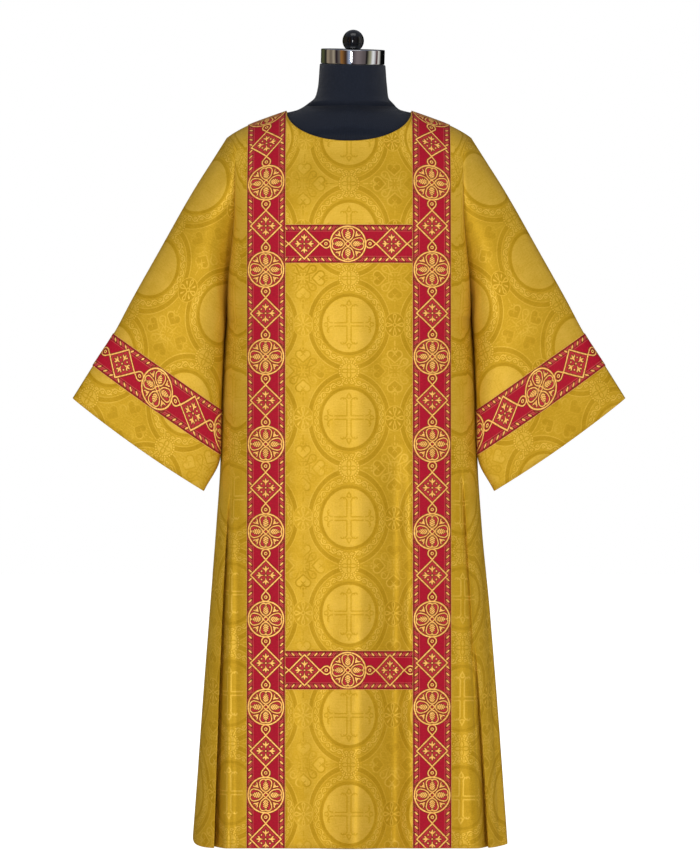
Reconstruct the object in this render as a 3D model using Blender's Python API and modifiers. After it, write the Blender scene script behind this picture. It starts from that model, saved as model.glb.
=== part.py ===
"""A dalmatic of gold brocade with crimson galloon, hanging on a limbless dress form.

The garment is cut as a front, a back and two sleeves. Each is a real cloth wall, worked out
from cross sections, and the galloon lies on the panels, made from their own points moved out.
Front faces -Y, +X is to the viewer's right, and the origin is the centre of the base's
underside. Metres.
"""

import math

import bmesh
import bpy
import numpy as np
from mathutils import Euler, Matrix, Vector

# Cloth
WALL = 0.002  # brocade with its interlining
BAND_WALL = 0.0009  # galloon
SEAM_GAP = 0.0003  # between pieces that are sewn to each other
BAND_WIDTH = 0.0685

# Heights
HEM_HEIGHT = 0.004
SHOULDER_HEIGHT = 1.2685  # outer end of the shoulder seam
NECK_HEIGHT = 1.3155  # inner end of the shoulder seam
UNDERARM_HEIGHT = 0.9405
UPPER_BAR_TOP = 1.1062
LOWER_BAR_TOP = 0.3515

# Neckline, measured out from the centre line
NECK_HALF_WIDTH = 0.1125
NECK_DROP = {"front": 0.053, "back": 0.016}
NECK_SLOPE = 0.36  # how the shoulder line would run on, up to the neck
BAND_INNER = NECK_HALF_WIDTH
BAND_OUTER = BAND_INNER + BAND_WIDTH

# How far below the shoulder line each panel reaches its full depth
SHOULDER_ROUND = {"front": 0.20, "back": 0.17}
TOP_BLEND = 0.153  # rows follow the neck and shoulder over this height
ARMHOLE_HOLLOW = {-1: 0.34, 1: 0.22}  # how much the cloth falls in at each armhole
SIGN = {"front": -1, "back": 1}

SHOULDER_LINE = [
    # out, height
    (0.1125, 1.3155),
    (0.1480, 1.3030),
    (0.1836, 1.2891),
    (0.2088, 1.2754),
    (0.2195, 1.2680),
]

BODY_SECTIONS = [
    # height, half width, front depth, back depth, squareness
    (0.0040, 0.2800, 0.160, 0.152, 4.0),
    (0.2345, 0.2640, 0.147, 0.140, 3.8),
    (0.4055, 0.2510, 0.138, 0.130, 3.6),
    (0.5785, 0.2378, 0.131, 0.120, 3.4),
    (0.6755, 0.2290, 0.128, 0.115, 3.2),
    (0.7755, 0.2222, 0.126, 0.112, 3.1),
    (0.8655, 0.2195, 0.124, 0.110, 3.0),
    (0.9405, 0.2185, 0.123, 0.110, 3.0),
    (1.0195, 0.2155, 0.122, 0.110, 2.8),
    (1.0605, 0.2110, 0.121, 0.110, 2.7),
    (1.1355, 0.2045, 0.118, 0.109, 2.6),
    (1.2185, 0.2030, 0.111, 0.103, 2.5),
    (1.2475, 0.2085, 0.106, 0.098, 2.4),
    (1.2685, 0.2195, 0.100, 0.092, 2.4),
]

# Heights of the rows down the armhole's edge, then down the side seam to the hem
ARMHOLE_ROWS = [SHOULDER_HEIGHT, 1.2667, 1.2615, 1.250, 1.229, 1.189, 1.146, UPPER_BAR_TOP]
ARMHOLE_ROWS += [UPPER_BAR_TOP - BAND_WIDTH, 0.990, 0.9575, UNDERARM_HEIGHT]
SKIRT_ROWS = [0.865, 0.775, 0.685, 0.615, 0.53, 0.44, LOWER_BAR_TOP]
SKIRT_ROWS += [LOWER_BAR_TOP - BAND_WIDTH, 0.19, 0.095, HEM_HEIGHT]
ROWS = ARMHOLE_ROWS + SKIRT_ROWS

# Columns out from the centre line: round the neckline, across the band, round to the side
NECK_ANGLES = (0, 20, 40, 57, 72, 83, 90)  # degrees round the neckline's quarter ellipse
BAND_STEPS = 2
SIDE_STEPS = (0.10, 0.20, 0.27, 0.32, 0.37, 0.44, 0.54, 0.66, 0.78, 0.89, 1.0)

FOLDS = [
    # panel, top height, arc at top, arc at hem, half width top, hem, height top, hem
    ("front", 1.205, -0.010, -0.011, 0.035, 0.034, 0.003, 0.006),  # light streak at the centre
    ("front", 0.725, 0.076, 0.078, 0.030, 0.040, -0.002, -0.011),  # hollow right of it
    ("front", 0.645, -0.239, -0.250, 0.014, 0.016, -0.010, -0.020),  # overlapping side fold
    ("front", 0.645, -0.220, -0.228, 0.014, 0.017, 0.003, 0.007),  # and its near edge
    ("front", 0.645, -0.262, -0.276, 0.014, 0.018, 0.002, 0.007),  # and its far edge
    ("front", 0.705, 0.218, 0.236, 0.016, 0.022, -0.007, -0.004),
    ("front", 0.445, 0.240, 0.261, 0.014, 0.018, -0.004, -0.013),
    ("front", 0.585, 0.270, 0.292, 0.020, 0.026, 0.002, 0.008),
    ("front", 0.585, -0.300, -0.330, 0.024, 0.032, -0.004, -0.010),
    ("front", 0.585, 0.300, 0.338, 0.024, 0.032, -0.004, -0.010),
    ("back", 0.935, 0.020, 0.015, 0.045, 0.050, -0.003, -0.010),
    ("back", 0.835, -0.085, -0.088, 0.035, 0.040, 0.002, 0.009),
    ("back", 0.785, 0.100, 0.092, 0.035, 0.040, 0.002, 0.007),
    ("back", 0.725, -0.205, -0.222, 0.020, 0.028, -0.004, -0.014),
    ("back", 0.705, 0.212, 0.225, 0.020, 0.026, -0.004, -0.016),
    ("back", 0.645, -0.262, -0.285, 0.022, 0.030, 0.003, 0.010),
    ("back", 0.605, 0.258, 0.280, 0.022, 0.030, 0.003, 0.009),
]
FOLD_RISE = 0.16  # a fold opens over this height below its top

SLEEVE_SECTIONS = [
    # top out, top height, underside out, underside height, half depth, forward, bluntness, bow
    (0.2784, 1.1739, 0.2215, 0.9205, 0.078, 0.004, 0.75, 0.0),
    (0.3390, 1.0659, 0.2232, 0.8949, 0.070, 0.012, 0.72, 0.0),
    (0.3910, 0.9723, 0.2250, 0.8571, 0.060, 0.022, 0.68, 0.0),
    (0.4216, 0.9147, 0.2278, 0.7779, 0.044, 0.034, 0.62, 0.0),
    (0.4583, 0.8571, 0.2296, 0.6969, 0.026, 0.044, 0.55, 0.002),
    (0.4941, 0.7995, 0.2590, 0.6335, 0.015, 0.048, 0.50, 0.005),
]
BAND_SECTION = 4  # the galloon's upper edge lies on this section, its lower on the next
SLEEVE_ROWS = (0.0, 0.5, 1.0, 2.0, 3.0, 4.0, 4.5, 5.0, 6.0)  # sections and places between

# Dress form
FORM_CLEARANCE = 0.0004  # under the shoulder seam, where the garment hangs
FORM_SLACK = 0.0045  # between the form and the cloth away from the seam, at least
FORM_SLACK_SHARE = 0.45  # or this share of the depth close to the seam, where that is less
NECK_SHIFT = 0.0065  # the neck stands this far to the right of the garment's centre
NECK_TOP_HEIGHT = 1.4005
NECK_TILT = math.radians(6.0)  # forward
NECK_ROLL = math.radians(1.5)  # down to the right
FORM_SEGMENTS = 28
FORM_SECTIONS = [
    # height, half width, front depth, back depth, squareness, shift
    (0.5855, 0.1500, 0.082, 0.090, 2.2, 0.0),
    (0.5975, 0.1600, 0.089, 0.097, 2.2, 0.0),
    (0.6855, 0.1700, 0.096, 0.103, 2.2, 0.0),
    (0.7855, 0.1640, 0.094, 0.101, 2.2, 0.0),
    (0.9055, 0.1380, 0.086, 0.080, 2.2, 0.0),
    (1.0055, 0.1520, 0.100, 0.086, 2.3, 0.0),
    (1.0855, 0.1700, 0.110, 0.094, 2.4, 0.0),
    (1.1555, 0.1800, 0.104, 0.095, 2.5, 0.0),
    (1.2105, 0.1880, 0.090, 0.086, 2.4, 0.0),
    (1.2405, 0.1930, 0.080, 0.074, 2.3, 0.0),
    (1.2605, 0.1970, 0.071, 0.062, 2.1, 0.0),
    (1.2728, 0.1960, 0.064, 0.052, 2.0, 0.0),
]
NECK_SECTIONS = [
    # height, half width, front depth, back depth, squareness, shift
    (1.3290, 0.0770, 0.062, 0.060, 2.0, 0.003),
    (1.3405, 0.0660, 0.061, 0.060, 2.0, 0.005),
    (1.3645, 0.0617, 0.060, 0.060, 2.0, NECK_SHIFT),
    (NECK_TOP_HEIGHT, 0.0590, 0.0590, 0.0590, 2.0, NECK_SHIFT),
]
SHOULDER_SLICES = [
    # half width, front depth, back depth, under the shoulder seam
    (0.1836, 0.070, 0.058),
    (0.1650, 0.068, 0.058),
    (0.1400, 0.066, 0.059),
    (0.1150, 0.062, 0.059),
    (0.0930, 0.062, 0.060),
]
NECK_DIP = 0.0025  # the form drops this much inside the neckline
CAP_HEIGHT = 0.0260
CAP_RADIUS = 0.0572
CAP_EDGE = 0.0015
KNOB_RADIUS = 0.0196
KNOB_FOOT_RADIUS = 0.0085
KNOB_HEIGHT = 0.0350
POLE_RADIUS = 0.0125
BASE_RADIUS = 0.135
BASE_THICKNESS = 0.012
BASE_EDGE = 0.003
HUB_RADIUS = 0.024
HUB_HEIGHT = 0.030

GOLD = (0.560, 0.350, 0.050, 1.0)
CRIMSON = (0.430, 0.013, 0.030, 1.0)
BLACK_CLOTH = (0.014, 0.017, 0.024, 1.0)
CHROME = (0.750, 0.750, 0.750, 1.0)
BLACK_GLOSS = (0.010, 0.010, 0.012, 1.0)
GREY_PAINT = (0.300, 0.300, 0.310, 1.0)


def smooth_through(knots, values, at):
    """A cubic through the values at the rising knots, which never swings past a neighbour."""
    knots = np.asarray(knots, float)
    values = np.asarray(values, float)
    at = np.asarray(at, float)
    lane = (slice(None),) + (None,) * (values.ndim - 1)
    step = np.diff(knots)[lane]
    rise = np.diff(values, axis=0) / step
    slope = np.zeros_like(values)
    slope[0] = rise[0]
    slope[-1] = rise[-1]
    before, after = rise[:-1], rise[1:]
    total = np.where(before * after > 0, before + after, 1.0)
    slope[1:-1] = np.where(before * after > 0, 2 * before * after / total, 0.0)
    left = np.clip(np.searchsorted(knots, at, side="right") - 1, 0, len(knots) - 2)
    width = np.diff(knots)[left]
    t = np.clip((at - knots[left]) / width, 0, 1)
    t = t.reshape(t.shape + (1,) * (values.ndim - 1))
    width = width.reshape(t.shape)
    return (
        (2 * t**3 - 3 * t**2 + 1) * values[left]
        + (t**3 - 2 * t**2 + t) * width * slope[left]
        + (3 * t**2 - 2 * t**3) * values[left + 1]
        + (t**3 - t**2) * width * slope[left + 1]
    )


def smooth_step(value):
    value = np.clip(value, 0.0, 1.0)
    return value * value * (3 - 2 * value)


def column(table, place):
    return [row[place] for row in table]


def section_at(height):
    """Half width, front depth, back depth and squareness of the body at each height."""
    table = np.array(BODY_SECTIONS)
    return np.moveaxis(smooth_through(table[:, 0], table[:, 1:], height), -1, 0)


def shoulder_height(out):
    """Height of the shoulder line, run on to the neck inside the neck opening."""
    line = smooth_through(column(SHOULDER_LINE, 0), column(SHOULDER_LINE, 1), out)
    return line + NECK_SLOPE * np.maximum(NECK_HALF_WIDTH - out, 0)


def top_height(panel, out):
    """Height of the panel's top edge: the neckline, then the shoulder line."""
    inside = np.clip(out / NECK_HALF_WIDTH, 0, 1)
    neckline = NECK_HEIGHT - NECK_DROP[panel] * np.sqrt(1 - inside**2)
    return np.where(out < NECK_HALF_WIDTH, neckline, shoulder_height(out))


def full_depth(panel, out, height):
    """Depth of the cloth from the shoulder line, before it falls in at the side."""
    depth = section_at(height)[1 if panel == "front" else 2]
    below = np.clip((shoulder_height(out) - height) / SHOULDER_ROUND[panel], 0, 1)
    return depth * np.sqrt(1 - (1 - below) ** 2)


def armhole_depth(panel, side, height):
    """Depth of the armhole's edge at this height: none at the shoulder or the underarm."""
    down = (SHOULDER_HEIGHT - height) / (SHOULDER_HEIGHT - UNDERARM_HEIGHT)
    down = np.clip(down, 0, 1)
    edge = section_at(height)[0]
    hollow = 1 - ARMHOLE_HOLLOW[side] * smooth_step(down * 1.6)
    return full_depth(panel, edge, height) * hollow * (1 - down**2.2) ** 0.55


def cloth_depth(panel, side, out, height, level):
    """Depth of the cloth before its folds; level is the height of its row at the side."""
    half_width, _, _, square = section_at(level)
    edge = armhole_depth(panel, side, level)
    angle = np.arcsin(np.clip(out / half_width, 0, 1) ** (square / 2))
    fall = np.clip(np.cos(angle), 0, 1) ** (2 / square)
    return edge + (full_depth(panel, out, height) - edge) * fall


def half_panel(panel, side):
    """Points of half a panel, [row, column] out from the centre line, before its folds."""
    level = np.array(ROWS)[:, None]
    half_width, _, _, square = section_at(level)
    turn = np.radians(NECK_ANGLES)
    near = NECK_HALF_WIDTH * np.sin(turn)
    band = np.linspace(BAND_INNER, BAND_OUTER, BAND_STEPS + 1)[1:]
    near = np.concatenate([near, band])[None, :]
    angle = np.arcsin((near / half_width) ** (square / 2))
    rest = np.array(SIDE_STEPS)[None, :]
    angle = np.hstack([angle, angle[:, -1:] * (1 - rest) + math.pi / 2 * rest])
    out = half_width * np.sin(angle) ** (2 / square)
    blend = smooth_step(1 - (SHOULDER_HEIGHT - level) / TOP_BLEND)
    height = level + (top_height(panel, out) - SHOULDER_HEIGHT) * blend
    level = np.broadcast_to(level, out.shape)
    depth = cloth_depth(panel, side, out, height, level)
    depth[0, len(NECK_ANGLES) - 1 :] = 0
    return np.stack([side * out, SIGN[panel] * depth, height], axis=2)


def normals_of(points, outward, closed=False):
    """Unit normals of a grid of points [row, column]; closed joins its last column to its first."""
    down = np.gradient(points, axis=0)
    if closed:
        across = np.roll(points, -1, axis=1) - np.roll(points, 1, axis=1)
    else:
        across = np.gradient(points, axis=1)
    normal = np.cross(down, across) * outward
    return normal / np.linalg.norm(normal, axis=2, keepdims=True)


def unit(vectors):
    return vectors / np.linalg.norm(vectors, axis=-1, keepdims=True)


def fold_relief(panel, points):
    """How far each point stands out for the hanging folds, by its way round from the centre."""
    middle = points.shape[1] // 2
    step = np.linalg.norm(np.diff(points[:, :, :2], axis=1), axis=2)
    arc = np.hstack([np.zeros((len(points), 1)), np.cumsum(step, axis=1)])
    arc -= arc[:, middle : middle + 1]
    height = points[:, :, 2]
    relief = np.zeros_like(height)
    for where, top, arc_top, arc_hem, wide_top, wide_hem, rise_top, rise_hem in FOLDS:
        if where != panel:
            continue
        down = np.clip((top - height) / (top - HEM_HEIGHT), 0, 1)
        place = arc_top + (arc_hem - arc_top) * down
        wide = wide_top + (wide_hem - wide_top) * down
        rise = rise_top + (rise_hem - rise_top) * down
        off = np.clip((arc - place) / wide, -1, 1)
        opening = smooth_step((top - height) / FOLD_RISE)
        relief += rise * opening * (0.5 + 0.5 * np.cos(math.pi * off))
    from_seam = np.minimum(arc - arc[:, :1], arc[:, -1:] - arc)
    return relief * smooth_step(from_seam / 0.03)


def panel_grid(panel):
    """Outer points and normals of the whole panel, [row, column] from side seam to side seam."""
    left = half_panel(panel, -1)[:, ::-1]
    right = half_panel(panel, 1)[:, 1:]
    points = np.concatenate([left, right], axis=1)
    normal = normals_of(points, -SIGN[panel])
    points += normal * fold_relief(panel, points)[:, :, None]
    normal = normals_of(points, -SIGN[panel])

    # Where the panels meet, both have one normal in the seam's own plane.
    skirt = slice(len(ARMHOLE_ROWS) - 1, None)
    neck_columns = slice(len(SIDE_STEPS) + BAND_STEPS, -(len(SIDE_STEPS) + BAND_STEPS))
    on_seam = np.zeros(points.shape[:2], bool)
    on_seam[0] = True
    on_seam[0, neck_columns] = False
    on_seam[0, len(SIDE_STEPS) + BAND_STEPS] = True
    on_seam[0, -(len(SIDE_STEPS) + BAND_STEPS) - 1] = True
    on_seam[skirt, 0] = True
    on_seam[skirt, -1] = True
    normal[on_seam, 1] = 0
    normal = unit(normal)
    points[on_seam, 1] = SIGN[panel] * SEAM_GAP / 2
    return points, normal


def sleeve_grid(side):
    """Outer points and normals of a sleeve, [row, round] from the armhole to the cuff."""
    levels = np.array(ARMHOLE_ROWS)
    down = (SHOULDER_HEIGHT - levels) / (SHOULDER_HEIGHT - UNDERARM_HEIGHT)
    turn = np.arccos(1 - 2 * down)
    turn = np.concatenate([turn, 2 * math.pi - turn[-2:0:-1]])
    levels = np.concatenate([levels, levels[-2:0:-1]])
    front = turn <= math.pi

    edge = section_at(levels)[0] + SEAM_GAP
    depth = np.where(
        front, -armhole_depth("front", side, levels), armhole_depth("back", side, levels)
    )
    rings = [np.stack([edge, depth, levels], axis=1)]
    along = (1 - np.cos(turn)) / 2
    for top_out, top, under_out, under, half_depth, forward, blunt, bow in SLEEVE_SECTIONS:
        reach = math.hypot(under_out - top_out, under - top)
        bulge = 4 * bow * along * (1 - along) / reach
        out = top_out + (under_out - top_out) * along + (top - under) * bulge
        height = top + (under - top) * along + (under_out - top_out) * bulge
        swell = half_depth * np.abs(np.sin(turn)) ** blunt * np.sign(np.sin(turn))
        rings.append(np.stack([out, -forward - swell, height], axis=1))
    points = smooth_through(range(len(rings)), np.array(rings), SLEEVE_ROWS)
    normal = normals_of(points, -1, closed=True)
    normal[0, :, 0] = 0
    normal = unit(normal)
    mirror = np.array([side, 1, 1])
    return points * mirror, normal * mirror


def new_material(name, colour, roughness, metallic=0.0):
    material = bpy.data.materials.new(name)
    material.use_nodes = True
    shader = material.node_tree.nodes["Principled BSDF"]
    shader.inputs["Base Color"].default_value = colour
    shader.inputs["Roughness"].default_value = roughness
    shader.inputs["Metallic"].default_value = metallic
    material.diffuse_color = colour
    return material


def add_object(name, mesh, material, collection):
    thing = bpy.data.objects.new(name, mesh)
    mesh.materials.append(material)
    collection.objects.link(thing)
    mesh.shade_smooth()
    mesh.set_sharp_from_angle(angle=math.radians(40))
    return thing


def wall_mesh(name, outer, inner, closed=False):
    """The solid between two grids of points; closed joins its last column to its first."""
    rows, columns = outer.shape[:2]
    place = np.arange(rows * columns).reshape(rows, columns)
    under = place + rows * columns
    if closed:
        place = np.hstack([place, place[:, :1]])
        under = np.hstack([under, under[:, :1]])
    faces = []
    for grid in (place, under):
        corners = (grid[:-1, :-1], grid[1:, :-1], grid[1:, 1:], grid[:-1, 1:])
        faces += np.stack(corners, axis=2).reshape(-1, 4).tolist()
    rims = [(place[0], under[0]), (place[-1], under[-1])]
    if not closed:
        rims += [(place[:, 0], under[:, 0]), (place[:, -1], under[:, -1])]
    for upper, lower in rims:
        corners = (upper[:-1], upper[1:], lower[1:], lower[:-1])
        faces += np.stack(corners, axis=1).tolist()
    points = np.concatenate([outer.reshape(-1, 3), inner.reshape(-1, 3)])
    mesh = bpy.data.meshes.new(name)
    mesh.from_pydata(points.tolist(), [], faces)
    shape = bmesh.new()
    shape.from_mesh(mesh)
    bmesh.ops.recalc_face_normals(shape, faces=shape.faces)
    shape.to_mesh(mesh)
    shape.free()
    return mesh


def add_cloth(name, points, normal, material, collection, closed=False):
    mesh = wall_mesh(name, points, points - WALL * normal, closed)
    return add_object(name, mesh, material, collection)


def add_band(name, points, normal, material, collection, closed=False):
    """Galloon on a stretch of cloth: the cloth's own points moved out."""
    inner = points + SEAM_GAP * normal
    mesh = wall_mesh(name, inner + BAND_WALL * normal, inner, closed)
    return add_object(name, mesh, material, collection)


def add_panel(panel, gold, crimson, collection):
    """The front or back, with its two upright bands and the two bars between them."""
    points, normal = panel_grid(panel)
    add_cloth(f"{panel}_panel", points, normal, gold, collection)
    last = points.shape[1] - 1
    start = len(SIDE_STEPS)
    end = start + BAND_STEPS
    for name, columns in (
        ("right", slice(start, end + 1)),
        ("left", slice(last - end, last - start + 1)),
    ):
        band = points[:, columns], normal[:, columns]
        add_band(f"orphrey_{panel}_{name}", *band, crimson, collection)
    for name, top in (("upper", UPPER_BAR_TOP), ("lower", LOWER_BAR_TOP)):
        row = ROWS.index(top)
        part = slice(row, row + 2), slice(end, last - end + 1)
        bar = points[part].copy()
        bar[:, 0, 0] += SEAM_GAP
        bar[:, -1, 0] -= SEAM_GAP
        add_band(f"bar_{panel}_{name}", bar, normal[part], crimson, collection)


def add_sleeve(name, side, gold, crimson, collection):
    points, normal = sleeve_grid(side)
    add_cloth(f"sleeve_{name}", points, normal, gold, collection, closed=True)
    first = SLEEVE_ROWS.index(BAND_SECTION)
    last = SLEEVE_ROWS.index(BAND_SECTION + 1)
    rows = slice(first, last + 1)
    add_band(f"sleeve_band_{name}", points[rows], normal[rows], crimson, collection, closed=True)


def neck_turn():
    """How the neck's top plane, its cap and its knob lean."""
    return Euler((NECK_TILT, NECK_ROLL, 0)).to_matrix()


def form_sections():
    """The form's sections from hip to neck, with those under the shoulder seam worked out."""
    under_seam = []
    for out, front, back in SHOULDER_SLICES:
        height = float(shoulder_height(np.array(out))) - WALL - 2 * FORM_CLEARANCE
        if out < NECK_HALF_WIDTH:
            height -= NECK_DIP
        under_seam.append((height, out, front, back, 2.0, 0.0))
    return FORM_SECTIONS + under_seam + NECK_SECTIONS


def room_under_cloth(panel, out, height):
    """How deep the form may be at this place, clear of the cloth's inner face."""
    above = np.array(height + WALL + FORM_CLEARANCE)
    level = np.minimum(above, SHOULDER_HEIGHT)
    inside = float(cloth_depth(panel, -1, np.array(out), above, level)) - WALL
    return inside - min(FORM_SLACK, FORM_SLACK_SHARE * inside)


def form_loop(height, half_width, front, back, square, shift):
    """Points round one section of the form, kept inside the cloth below the neck."""
    plane = neck_turn() @ Vector((0, 0, 1))
    lean = max(height - NECK_HEIGHT, 0) / (NECK_TOP_HEIGHT - NECK_HEIGHT)
    points = []
    for step in range(FORM_SEGMENTS):
        angle = 2 * math.pi * step / FORM_SEGMENTS
        east, north = math.sin(angle), -math.cos(angle)
        out = half_width * abs(east) ** (2 / square)
        panel = "front" if north < 0 else "back"
        depth = (front if north < 0 else back) * abs(north) ** (2 / square)
        if height < NECK_HEIGHT:
            depth = min(depth, max(room_under_cloth(panel, out, height), 0))
        out = math.copysign(out, east)
        depth = math.copysign(depth, north)
        drop = (plane.x * out + plane.y * depth) / plane.z
        points.append((shift + out, depth, height - lean * drop))
    return points


def add_form(material, collection):
    """A smooth limbless torso and neck, lofted through its sections and closed at both ends."""
    shape = bmesh.new()
    loops = []
    for section in form_sections():
        loops.append([shape.verts.new(point) for point in form_loop(*section)])
    for lower, upper in zip(loops, loops[1:]):
        for step in range(FORM_SEGMENTS):
            after = (step + 1) % FORM_SEGMENTS
            shape.faces.new((lower[step], lower[after], upper[after], upper[step]))
    shape.faces.new(loops[0][::-1])
    shape.faces.new(loops[-1])
    bmesh.ops.recalc_face_normals(shape, faces=shape.faces)
    mesh = bpy.data.meshes.new("form_torso")
    shape.to_mesh(mesh)
    shape.free()
    return add_object("form_torso", mesh, material, collection)


def add_turned(name, profile, steps, material, collection):
    """A turned piece: its profile, outer side top to bottom, under a Screw modifier."""
    mesh = bpy.data.meshes.new(name)
    points = [(radius, 0, height) for radius, height in profile]
    mesh.from_pydata(points, [(i, i + 1) for i in range(len(points) - 1)], [])
    thing = add_object(name, mesh, material, collection)
    screw = thing.modifiers.new("Turn", "SCREW")
    screw.steps = steps
    screw.render_steps = steps
    screw.use_merge_vertices = True
    screw.merge_threshold = 0.00001
    screw.use_smooth_shade = True
    return thing


def add_cap_and_knob(chrome, gloss, collection):
    """The chrome disc on the neck and the ball knob on it, both leaning as the neck does."""
    turn = neck_turn()
    seat = Vector((NECK_SHIFT, 0, NECK_TOP_HEIGHT))
    upwards = turn @ Vector((0, 0, 1))
    cap = add_turned(
        "neck_cap",
        [
            (0, CAP_HEIGHT),
            (CAP_RADIUS - CAP_EDGE, CAP_HEIGHT),
            (CAP_RADIUS, CAP_HEIGHT - CAP_EDGE),
            (CAP_RADIUS + CAP_EDGE / 2, CAP_EDGE),
            (CAP_RADIUS - CAP_EDGE / 2, 0),
            (0, 0),
        ],
        36,
        chrome,
        collection,
    )
    cap.matrix_world = Matrix.Translation(seat + SEAM_GAP * upwards) @ turn.to_4x4()

    centre = KNOB_HEIGHT - KNOB_RADIUS
    lowest = math.acos(-0.80)
    arc = [
        (KNOB_RADIUS * math.sin(angle), centre + KNOB_RADIUS * math.cos(angle))
        for angle in np.linspace(0, lowest, 9)
    ]
    foot = [(KNOB_FOOT_RADIUS, 0), (0, 0)]
    knob = add_turned("neck_knob", arc + foot, 24, gloss, collection)
    above = seat + (CAP_HEIGHT + 2 * SEAM_GAP) * upwards
    knob.matrix_world = Matrix.Translation(above) @ turn.to_4x4()


def add_stand(paint, collection):
    """The pole under the torso and the round base that the whole part stands on."""
    add_turned(
        "base",
        [
            (0, HUB_HEIGHT),
            (HUB_RADIUS - BASE_EDGE, HUB_HEIGHT),
            (HUB_RADIUS, HUB_HEIGHT - BASE_EDGE),
            (HUB_RADIUS, BASE_THICKNESS),
            (BASE_RADIUS - BASE_EDGE, BASE_THICKNESS - BASE_EDGE / 2),
            (BASE_RADIUS, BASE_THICKNESS - BASE_EDGE * 2),
            (BASE_RADIUS, 0),
            (0, 0),
        ],
        40,
        paint,
        collection,
    )
    foot = HUB_HEIGHT + SEAM_GAP
    head = FORM_SECTIONS[0][0] - SEAM_GAP
    add_turned(
        "pole",
        [(0, head), (POLE_RADIUS, head), (POLE_RADIUS, foot), (0, foot)],
        20,
        paint,
        collection,
    )


def main():
    for thing in list(bpy.data.objects):
        bpy.data.objects.remove(thing)
    collection = bpy.data.collections.new("dalmatic_on_dress_form")
    bpy.context.scene.collection.children.link(collection)

    gold = new_material("gold_brocade", GOLD, 0.5)
    crimson = new_material("crimson_galloon", CRIMSON, 0.6)
    for panel in ("front", "back"):
        add_panel(panel, gold, crimson, collection)
    add_sleeve("right", -1, gold, crimson, collection)
    add_sleeve("left", 1, gold, crimson, collection)

    add_form(new_material("black_jersey", BLACK_CLOTH, 0.8), collection)
    chrome = new_material("chrome_plate", CHROME, 0.08, 1.0)
    gloss = new_material("black_knob", BLACK_GLOSS, 0.1)
    add_cap_and_knob(chrome, gloss, collection)
    add_stand(new_material("grey_enamel", GREY_PAINT, 0.4), collection)


main()
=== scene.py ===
import math

import bpy
import numpy as np
from mathutils import Euler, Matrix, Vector


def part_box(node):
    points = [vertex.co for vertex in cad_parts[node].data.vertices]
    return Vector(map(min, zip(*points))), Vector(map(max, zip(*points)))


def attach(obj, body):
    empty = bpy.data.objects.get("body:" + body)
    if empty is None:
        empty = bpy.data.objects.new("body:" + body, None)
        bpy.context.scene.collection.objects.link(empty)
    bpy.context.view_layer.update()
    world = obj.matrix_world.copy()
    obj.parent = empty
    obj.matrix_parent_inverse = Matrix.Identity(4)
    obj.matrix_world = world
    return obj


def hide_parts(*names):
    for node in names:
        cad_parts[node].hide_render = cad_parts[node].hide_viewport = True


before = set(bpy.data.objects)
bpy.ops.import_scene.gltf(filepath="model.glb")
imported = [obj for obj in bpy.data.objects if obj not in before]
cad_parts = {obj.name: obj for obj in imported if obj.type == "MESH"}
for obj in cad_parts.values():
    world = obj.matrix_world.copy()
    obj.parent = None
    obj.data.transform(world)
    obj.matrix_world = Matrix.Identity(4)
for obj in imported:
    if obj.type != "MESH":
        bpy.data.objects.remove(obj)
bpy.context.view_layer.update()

bpy.ops.object.select_all(action="DESELECT")

# A dalmatic of gold damask with crimson galloon, on a limbless dress form.
# Metres. The front faces -Y, and +X is to the viewer's right. A side is -1 on the viewer's
# left and 1 on the right.

garment = {
    "wall": 0.0017,  # damask with its interlining
    "galloonWall": 0.0009,
    "galloonLift": 0.0012,  # its outer face over the damask's
    "rimBulge": 0.42,  # how far a rounded edge stands out, as a share of the wall
    "hemTurn": 0.028,  # cloth turned up inside an edge
    "hemEase": 0.004,  # over which the wall thickens there
    "hemExtra": 0.0009,
    "seamGap": 0.0003,
    "hem": 0.004,
    "shoulder": 1.2685,  # outer end of the shoulder seam
    "neck": 1.3155,  # inner end of the shoulder seam
    "underarm": 0.9405,
    "upperBar": 1.1062,  # top edges of the bars
    "lowerBar": 0.3515,
    "bandWidth": 0.0685,
    "bandInner": 0.1125,  # half the neck opening too
    "neckDrop": {"front": 0.0590, "back": 0.016},
    "neckSlope": 0.36,
    "shoulderRound": {"front": 0.20, "back": 0.17},
    "topBlend": 0.153,  # height over which the rows turn level below the shoulder
    "armholeHollow": {-1: 0.44, 1: 0.30},  # how far its edge is drawn in, by side
    "hollowDrop": 1.6,
    "armholeBend": 2.2,  # roundness of the armhole, at its top and at its foot
    "armholeFoot": 0.55,
    "cornerWide": 0.14,  # the hem rounds up at the side seams over this width
    "cornerTall": 0.12,  # and takes the cloth above along over this height
    "cornerRise": 0.022,
    "hemBow": 0.0006,  # the hem hangs this much higher in the middle
    "hemSag": 0.0018,  # and drops this much on the way to the side seams
    "sagFrom": 0.31,
    "sagOver": 0.13,
    "foldRise": 0.16,  # height over which a fold opens
    "foldSeam": 0.03,  # folds die away this near to a side seam
    "lapWall": 0.0036,  # width of the steep wall under a lap's edge
    "lapBend": 0.6,  # how soon a lap's edge runs out on its way down
    "lapHollow": 1.8,  # how hollow the cloth runs in under it
    "neckSteps": 22,
    "bandSteps": 12,
    "sideSteps": 92,
    "armholeSteps": (20, 9, 15),  # above, across and below the upper bar
    "skirtSteps": (62, 9, 32),  # above, across and below the lower bar
    "fineSteps": 500,  # for measuring a curve
    "crowd": 2.8,  # columns stand closer where the deep fold hangs
    "crowdAt": 0.38,
    "crowdWide": 0.13,
    "crowdSteps": 401,
}
facing = {"front": -1, "back": 1}

shoulderLine = [
    # out, height
    (0.1125, 1.3155),
    (0.1480, 1.3030),
    (0.1836, 1.2891),
    (0.2088, 1.2754),
    (0.2195, 1.2680),
]

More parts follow.
